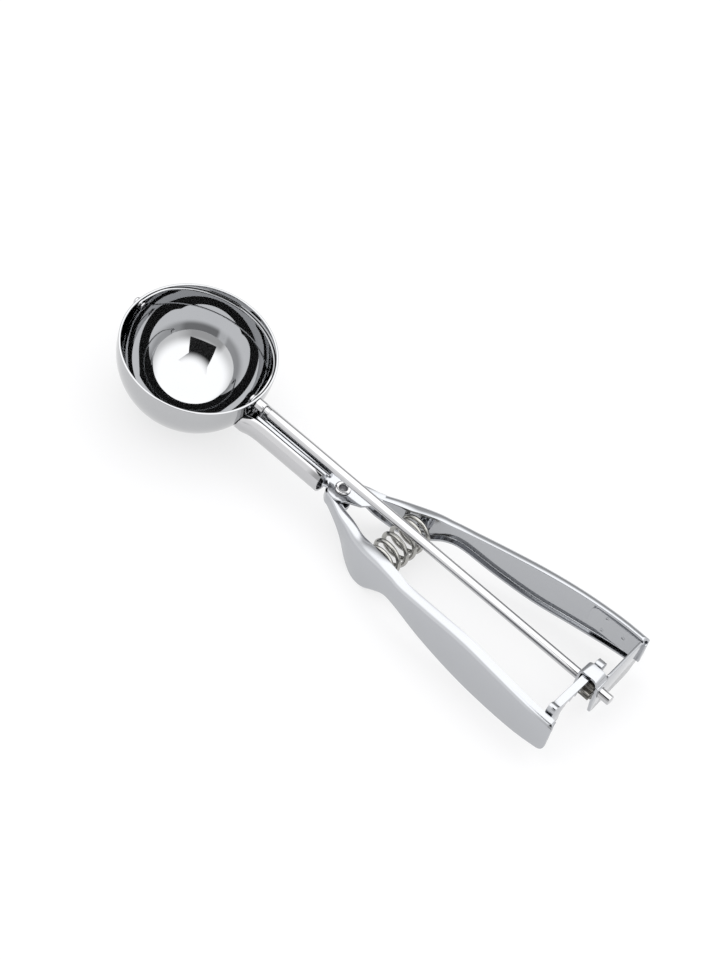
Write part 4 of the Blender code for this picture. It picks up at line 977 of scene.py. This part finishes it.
def pinion_outline():
    """Tooth outlines with involute sides, the first tooth pointing up."""
    base = PITCH_RADIUS * math.cos(PRESSURE_ANGLE)
    half_pitch = TOOTH_THICKNESS / (2 * PITCH_RADIUS)
    points = []
    for tooth in range(PINION_TEETH):
        centre = math.pi / 2 + 2 * math.pi * tooth / PINION_TEETH
        side = [(PINION_ROOT_RADIUS, half_pitch + involute(PRESSURE_ANGLE) + ROOT_SPREAD)]
        for step in range(6):
            radius = base + (PINION_TIP_RADIUS - base) * step / 5
            spread = half_pitch + involute(PRESSURE_ANGLE) - involute(math.acos(min(1.0, base / radius)))
            side.append((radius, spread))
        for radius, spread in side:
            points.append((radius * math.cos(centre - spread), radius * math.sin(centre - spread)))
        for radius, spread in reversed(side):
            points.append((radius * math.cos(centre + spread), radius * math.sin(centre + spread)))
    return points


def make_pinion():
    middle = REAR_LEG_X + RUN_GAP + PINION_LENGTH / 2
    pinion = plate("cut_pinion", pinion_outline(), PINION_LENGTH, across_x(middle), edge=TURNED_EDGE / 2)
    bore = rod_of("bore", ROD_RADIUS + PRESS_GAP, PINION_LENGTH * 2, (middle, 0, 0))
    combine(pinion, bore, "DIFFERENCE")
    return fit(pinion, "pinion")


def rack_tooth_centres():
    """Tooth centres, half a pitch off the pinion's upright tooth, over the whole travel."""
    spare = 1.5 * TOOTH_PITCH
    last = -(RACK_TRAVEL + spare)
    centres = []
    centre = spare
    while centre > last + 0.25 * TOOTH_PITCH:
        centres.append(centre)
        centre -= TOOTH_PITCH
    return centres


def handle_channel():
    """The room inside a handle near its end: its wall, its flange edges, their inner heights."""
    row = wall_row_at(RACK_X)
    wall = row[1] - SHEET - CHANNEL_PLAY
    upper_edge = row[1] - row[4] - EDGE_PLAY
    lower_edge = row[1] - LOWER_FLANGE - EDGE_PLAY
    ceiling = row[2] - SHEET - CHANNEL_PLAY
    floor = HANDLE_END_BOTTOM + SHEET + EDGE_PLAY
    return wall, upper_edge, lower_edge, ceiling, floor


def rack_outline():
    """The rack's side view in Y and Z: toothed bar, nub at its tip, shoulder and base in the handle."""
    slope = math.tan(PRESSURE_ANGLE)
    half_tip = TOOTH_THICKNESS / 2 - (PITCH_RADIUS - RACK_TIP_Z) * slope
    half_root = TOOTH_THICKNESS / 2 + (RACK_ROOT_Z - PITCH_RADIUS) * slope
    centres = rack_tooth_centres()
    points = [(RACK_REACH, RACK_ROOT_Z + RACK_END_CORNER)]
    for centre in centres:
        points += [(centre + half_root, RACK_ROOT_Z), (centre + half_tip, RACK_TIP_Z)]
        points += [(centre - half_tip, RACK_TIP_Z), (centre - half_root, RACK_ROOT_Z)]
        points.append((centre - TOOTH_PITCH / 2, RACK_ROOT_Z + ROOT_ROUNDING))
    last_root = centres[-1] - TOOTH_PITCH + half_root
    wall, upper_edge, lower_edge, ceiling, floor = handle_channel()
    corner = RACK_CORNER
    shoulder_top = RACK_TOP_Z + SHOULDER_RISE
    nub_start = BRIDGE_FAR_Y + RUN_GAP * 1.5
    nub_top = BRIDGE_TOP_Z
    points.append((last_root, RACK_ROOT_Z))
    points += arc((-RACK_TRAVEL, 0), PINION_TIP_RADIUS + RACK_CLEARANCE, *RACK_HOLLOW, 12)
    points += [(last_root - RACK_HEEL_REACH, -RACK_HEEL_DEPTH), (-lower_edge + EDGE_PLAY, floor)]
    points += [(-wall + corner, floor), (-wall, floor + corner), (-wall, ceiling - corner)]
    points += [(-wall + corner, ceiling), (-upper_edge, ceiling), (-upper_edge, HANDLE_END_TOP + SEAT_GAP)]
    points += [(-upper_edge + across, shoulder_top - down) for across, down in SHOULDER_BEND]
    points += [(BRIDGE_NEAR_Y - EDGE_PLAY, RACK_TOP_Z), (nub_start - RUN_GAP, RACK_TOP_Z)]
    points += [(nub_start + across, nub_top - down) for across, down in NUB_BEND]
    points += [(RACK_REACH - across, nub_top - down) for across, down in NUB_END]
    points.append((RACK_REACH, RACK_TOP_Z - RACK_END_CORNER))
    return points


def along_wall(side, depth):
    """A frame for outlines in X and Z on a plane along the inside of a handle's wall, near its end."""
    start = HANDLE_END_X - WELD_LEG_LENGTH
    first, second = wall_spread_at(start), wall_spread_at(HANDLE_END_X)
    slope = math.atan2(second - first, WELD_LEG_LENGTH)
    basis = Matrix(((1, 0, 0, 0), (0, 0, -1, 0), (0, 1, 0, 0), (0, 0, 0, 1)))
    place = Matrix.Translation((start, side * first, 0)) @ Matrix.Rotation(side * slope, 4, "Z")
    return place @ Matrix.Translation((0, -side * depth, 0)) @ Matrix.Translation((-start, 0, 0)) @ basis


def weld_leg(side, end):
    """A plate along the inside of a handle's wall, from near the handle's end forwards."""
    start = HANDLE_END_X - WELD_LEG_LENGTH
    top = HANDLE_END_TOP - UPPER_EDGE_RADIUS - SEAT_GAP
    bottom = HANDLE_END_BOTTOM + SHEET + LOWER_EDGE_RADIUS
    corner = WELD_LEG_CORNER
    outline = (arc((start + corner, top - corner), corner, 90, 180, 8)
               + arc((start + corner, bottom + corner), corner, 180, 270, 8) + [(end, bottom), (end, top)])
    depth = SHEET + CHANNEL_PLAY + BRACKET_SHEET / 2
    return plate("weld_leg", outline, BRACKET_SHEET, along_wall(side, depth))


def make_rack():
    rack = plate("toothed_rack", rack_outline(), RACK_SHEET, across_x(RACK_X), edge=SHEET_EDGE)
    combine(rack, weld_leg(-1, RACK_X + RACK_SHEET / 2 - SEAT_GAP), "UNION")
    return fit(rack, "left_rack")


# Rear bracket

def bracket_outline():
    """The bracket's plate in Y and Z, from its tongue below the rod to the right handle's wall."""
    wall, upper_edge, lower_edge, ceiling, floor = handle_channel()
    wall -= SEAT_GAP
    top = BRIDGE_TOP_Z - BRIDGE_FRONT_BEND
    corner = RACK_CORNER
    tongue = arc((TONGUE_Y, -TONGUE_DEPTH + TONGUE_RADIUS), TONGUE_RADIUS, 185, 270, 12)
    points = [(BRIDGE_NEAR_Y, top), (BRIDGE_NEAR_Y, -TONGUE_RADIUS)] + tongue
    points += [(lower_edge - TONGUE_RADIUS, -TONGUE_DEPTH), (lower_edge, floor - SHEET)]
    points.append((wall - corner, floor))
    points += [(wall, floor + corner), (wall, ceiling - corner), (wall - corner, ceiling)]
    points += [(upper_edge - SEAT_GAP, ceiling), (upper_edge - EDGE_PLAY, HANDLE_END_TOP)]
    points += [(BRIDGE_FAR_Y + ARM_FALL_Y, RACK_TOP_Z - ARM_FALL_Z), (BRIDGE_FAR_Y + ARM_FALL_Z, RACK_TOP_Z)]
    points.append((BRIDGE_FAR_Y, top))
    return points


def bracket_strap_outline():
    """The strip that bends back over the rack and down behind the pinion, in X and Z."""
    back = REAR_LEG_X - BRIDGE_SHEET
    front = BRACKET_FACE_X - BRACKET_SHEET / 4
    back_centre = (back + BRIDGE_BACK_BEND, BRIDGE_TOP_Z - BRIDGE_BACK_BEND)
    front_centre = (front - BRIDGE_FRONT_BEND, BRIDGE_TOP_Z - BRIDGE_FRONT_BEND)
    outer = [(back, -REAR_LEG_DEPTH)] + arc(back_centre, BRIDGE_BACK_BEND, 180, 90, 8)
    outer += arc(front_centre, BRIDGE_FRONT_BEND, 90, 0, 10)
    inner = arc(front_centre, BRIDGE_FRONT_BEND - BRIDGE_SHEET, 0, 90, 10)
    inner += arc(back_centre, BRIDGE_BACK_BEND - BRIDGE_SHEET, 90, 180, 8)
    inner.append((REAR_LEG_X, -REAR_LEG_DEPTH))
    return outer + inner


def make_bracket():
    """The right handle's rear arm: a plate, a strap bent back over the rack, and a leg on the wall."""
    middle_x = BRACKET_FACE_X - BRACKET_SHEET / 2
    face_on = across_x(middle_x, math.atan(BRACKET_TILT))
    bracket = plate("bracket_pressing", bracket_outline(), BRACKET_SHEET, face_on, edge=BRACKET_EDGE)
    strap_y = (BRIDGE_NEAR_Y + BRIDGE_FAR_Y) / 2
    side_view = Matrix(((1, 0, 0, 0), (0, 0, -1, strap_y), (0, 1, 0, 0), (0, 0, 0, 1)))
    strap = plate("strap", bracket_strap_outline(), (BRIDGE_FAR_Y - BRIDGE_NEAR_Y) * STRAP_SHARE, side_view)
    combine(bracket, strap, "UNION")
    combine(bracket, weld_leg(1, HANDLE_END_X + SEAT_GAP), "UNION")
    face = along_wall(1, SHEET + CHANNEL_PLAY + BRACKET_SHEET)
    for back, rise in WELD_MARKS:
        place = face @ Vector((HANDLE_END_X - back, rise, 0))
        dimple(bracket, (place, (0, -1, 0)), WELD_MARK_RADIUS, WELD_MARK_DEPTH)
    middle = (REAR_LEG_X + BRACKET_FACE_X) / 2
    drill = rod_of("drill", ROD_RADIUS + RUN_GAP, (BRACKET_FACE_X - REAR_LEG_X) * 2, (middle, 0, 0))
    combine(bracket, drill, "DIFFERENCE")
    return fit(bracket, "rear_bracket")


make_bowl()
make_blade()
make_tip_pin()
make_rod()
make_sleeve()
make_neck()
make_left_handle()
make_right_handle()
make_rivet()
make_spring()
make_pinion()
make_rack()
make_bracket()
alone()


# Camera at the photograph's place
CAMERA_LENS = 163.25
CAMERA_SENSOR = 36.0
CAMERA_SIGHT = 20.0
CAMERA_PLACE = Matrix((
    (0.7401, -0.6250, 0.2483, 0.3860), (0.6369, 0.5328, -0.5572, -0.8786), (0.2160, 0.5705, 0.7924, 1.2839),
    (0, 0, 0, 1)))

# Floor, tangent to the bowl and to the handles' finger stops
FLOOR_SIZE = 6.0
FLOOR_LEAN = math.radians(4.24)
FLOOR_TOUCH = (0.0121, 0.0, 0.0067)
FLOOR_GREY = (0.51, 0.51, 0.52)
FLOOR_ROUGHNESS = 0.95
FLOOR_GLOW = 1.15
FLOOR_GLOW_SHARE = 0.6

# Studio, by direction in degrees: a bright ceiling, walls of uneven brightness, dimmer low down on one side
CEILING_LEVEL = 2.10
CEILING_FROM = 28
CEILING_FULL = 46
WALL_LEVELS = ((-180, 1.05), (-140, 1.30), (-104, 1.20), (-96, 0.62), (-45, 0.62), (-20, 1.05), (55, 1.15),
               (62, 1.70), (78, 1.70), (86, 0.58), (165, 0.62), (180, 1.05))
DIM_SHARES = ((-180, 1.0), (7.2, 1.0), (36, 2 / 3), (162, 2 / 3), (180, 1.0))
DIM_FROM = 20
DIM_FULL = 2

# Dark space round the camera, as steel mirrors it, by direction in degrees
CARD_DISTANCE = 2.2
CARD_BLACK = 0.02
CARD_DARK_TO = 53.0
CARD_WHITE_FROM = 71.0
CARD_CORNERS = ((-135, 65.9), (-7, 63.4), (-43, 56.4), (-44, 31.8), (-93, 31.9), (-112, 61.5))
PAST_FIRST_MIRROR = 1.5

# Key lamp
KEY_PLACE = (-0.6, 1.0, 1.9)
KEY_SIZE = 1.3
KEY_POWER = 4.0


def make_camera():
    data = bpy.data.cameras.new("camera")
    data.sensor_width = CAMERA_SENSOR
    data.lens = CAMERA_LENS
    data.clip_end = CAMERA_SIGHT
    camera = bpy.data.objects.new("camera", data)
    bpy.context.scene.collection.objects.link(camera)
    camera.matrix_world = CAMERA_PLACE
    bpy.context.scene.camera = camera


def put(tree, value, socket):
    """Give a node's input a number, or link another node's output to it."""
    if isinstance(value, (int, float)):
        socket.default_value = value
    else:
        tree.links.new(value, socket)


def maths(tree, operation, first, second):
    node = tree.nodes.new("ShaderNodeMath")
    node.operation = operation
    put(tree, first, node.inputs[0])
    put(tree, second, node.inputs[1])
    return node.outputs[0]


def mixed(tree, share, first, second):
    """A number between two others, by a share."""
    node = tree.nodes.new("ShaderNodeMix")
    node.data_type = "FLOAT"
    put(tree, share, node.inputs[0])
    put(tree, first, node.inputs[2])
    put(tree, second, node.inputs[3])
    return node.outputs[0]


def reached(tree, height, start, full):
    """0 to 1 as a direction's height goes from one angle to another, both in degrees."""
    node = tree.nodes.new("ShaderNodeMapRange")
    node.interpolation_type = "SMOOTHSTEP"
    put(tree, height, node.inputs["Value"])
    put(tree, math.sin(math.radians(start)), node.inputs["From Min"])
    put(tree, math.sin(math.radians(full)), node.inputs["From Max"])
    return node.outputs["Result"]


def levels_round(tree, turn, levels):
    """Levels at azimuths in degrees, read at a share of the full turn that starts at -180."""
    ramp = tree.nodes.new("ShaderNodeValToRGB")
    stops = ramp.color_ramp.elements
    placed = [(min((azimuth + 180) / 360, 1.0), level) for azimuth, level in levels]
    for stop, (position, level) in zip(stops, (placed[0], placed[-1])):
        stop.position, stop.color = position, (level, level, level, 1)
    for position, level in placed[1:-1]:
        stop = stops.new(position)
        stop.color = (level, level, level, 1)
    tree.links.new(turn, ramp.inputs[0])
    return ramp.outputs["Color"]


def glow_over(tree, level, share):
    """Mix a white glow over the material's own shader, by a share."""
    glow = tree.nodes.new("ShaderNodeEmission")
    glow.inputs["Color"].default_value = (1, 1, 1, 1)
    glow.inputs["Strength"].default_value = level
    blend = tree.nodes.new("ShaderNodeMixShader")
    tree.links.new(share, blend.inputs[0])
    tree.links.new(tree.nodes["Principled BSDF"].outputs[0], blend.inputs[1])
    tree.links.new(glow.outputs[0], blend.inputs[2])
    tree.links.new(blend.outputs[0], tree.nodes["Material Output"].inputs["Surface"])


def dull_finish(name, colour, roughness):
    finish = bpy.data.materials.new(name)
    finish.use_nodes = True
    shader = finish.node_tree.nodes["Principled BSDF"]
    shader.inputs["Base Color"].default_value = (*colour, 1)
    shader.inputs["Roughness"].default_value = roughness
    return finish


def seen_rays(tree):
    """1 for the rays that see the floor itself, in the picture, in steel or through it."""
    rays = tree.nodes.new("ShaderNodeLightPath")
    total = rays.outputs["Is Camera Ray"]
    for kind in ("Is Glossy Ray", "Is Transmission Ray"):
        total = maths(tree, "MAXIMUM", total, rays.outputs[kind])
    return total


def make_floor():
    """A wide sheet of pale paper that glows for the rays that see it and keeps the scoop's shadow."""
    alone()
    bpy.ops.mesh.primitive_plane_add(size=FLOOR_SIZE, location=FLOOR_TOUCH, rotation=(0, -FLOOR_LEAN, 0))
    floor = bpy.context.active_object
    floor.name = "floor"
    paper = dull_finish("floor_paper", FLOOR_GREY, FLOOR_ROUGHNESS)
    tree = paper.node_tree
    glow_over(tree, FLOOR_GLOW, maths(tree, "MULTIPLY", seen_rays(tree), FLOOR_GLOW_SHARE))
    floor.data.materials.append(paper)


def make_studio():
    """The room that lights the scoop and shows in its steel; the camera itself sees plain white."""
    world = bpy.data.worlds.new("studio")
    bpy.context.scene.world = world
    world.use_nodes = True
    tree = world.node_tree
    background = tree.nodes["Background"]
    background.inputs["Color"].default_value = (1, 1, 1, 1)
    place = tree.nodes.new("ShaderNodeTexCoord")
    parts = tree.nodes.new("ShaderNodeSeparateXYZ")
    tree.links.new(place.outputs["Generated"], parts.inputs[0])
    height = parts.outputs["Z"]
    turn = tree.nodes.new("ShaderNodeMapRange")
    put(tree, maths(tree, "ARCTAN2", parts.outputs["Y"], parts.outputs["X"]), turn.inputs["Value"])
    put(tree, -math.pi, turn.inputs["From Min"])
    put(tree, math.pi, turn.inputs["From Max"])
    walls = levels_round(tree, turn.outputs["Result"], WALL_LEVELS)
    dim_share = levels_round(tree, turn.outputs["Result"], DIM_SHARES)
    dimming = mixed(tree, reached(tree, height, DIM_FROM, DIM_FULL), 1.0, dim_share)
    wall_level = maths(tree, "MULTIPLY", walls, dimming)
    overhead = reached(tree, height, CEILING_FROM, CEILING_FULL)
    room = mixed(tree, overhead, wall_level, CEILING_LEVEL)
    rays = tree.nodes.new("ShaderNodeLightPath")
    strength = mixed(tree, rays.outputs["Is Camera Ray"], room, 1.0)
    tree.links.new(strength, background.inputs["Strength"])


def direction(azimuth, elevation):
    turn, rise = math.radians(azimuth), math.radians(elevation)
    return Vector((math.cos(turn) * math.cos(rise), math.sin(turn) * math.cos(rise), math.sin(rise)))


def make_dark_card():
    """A black card that only steel sees; in the first mirror it fades upwards into the ceiling."""
    corners = [direction(*corner) * CARD_DISTANCE for corner in CARD_CORNERS]
    card = draw_line("dark_card", corners, closed=True)
    bpy.ops.mesh.select_all(action="SELECT")
    bpy.ops.mesh.edge_face_add()
    alone(card)
    fading = dull_finish("fading_black", (CARD_BLACK, CARD_BLACK, CARD_BLACK), 1.0)
    tree = fading.node_tree
    place = tree.nodes.new("ShaderNodeTexCoord")
    towards = tree.nodes.new("ShaderNodeVectorMath")
    towards.operation = "NORMALIZE"
    tree.links.new(place.outputs["Object"], towards.inputs[0])
    parts = tree.nodes.new("ShaderNodeSeparateXYZ")
    tree.links.new(towards.outputs["Vector"], parts.inputs[0])
    fade = reached(tree, parts.outputs["Z"], CARD_DARK_TO, CARD_WHITE_FROM)
    rays = tree.nodes.new("ShaderNodeLightPath")
    first_mirror = maths(tree, "LESS_THAN", rays.outputs["Ray Depth"], PAST_FIRST_MIRROR)
    glow_over(tree, CEILING_LEVEL, maths(tree, "MULTIPLY", fade, first_mirror))
    card.data.materials.append(fading)
    card.visible_camera = False
    card.visible_shadow = False
    card.visible_diffuse = False


def make_key():
    """A large soft lamp for the floor and the scoop's shadow, hidden from the steel's reflections."""
    lamp = bpy.data.lights.new("key", "AREA")
    lamp.shape = "RECTANGLE"
    lamp.size = lamp.size_y = KEY_SIZE
    lamp.energy = KEY_POWER
    key = bpy.data.objects.new("key", lamp)
    bpy.context.scene.collection.objects.link(key)
    key.location = KEY_PLACE
    key.rotation_euler = (-Vector(KEY_PLACE)).to_track_quat("-Z", "Y").to_euler()
    key.visible_glossy = False


make_camera()
bpy.context.scene.view_settings.view_transform = "Standard"
make_floor()
make_studio()
make_dark_card()
make_key()
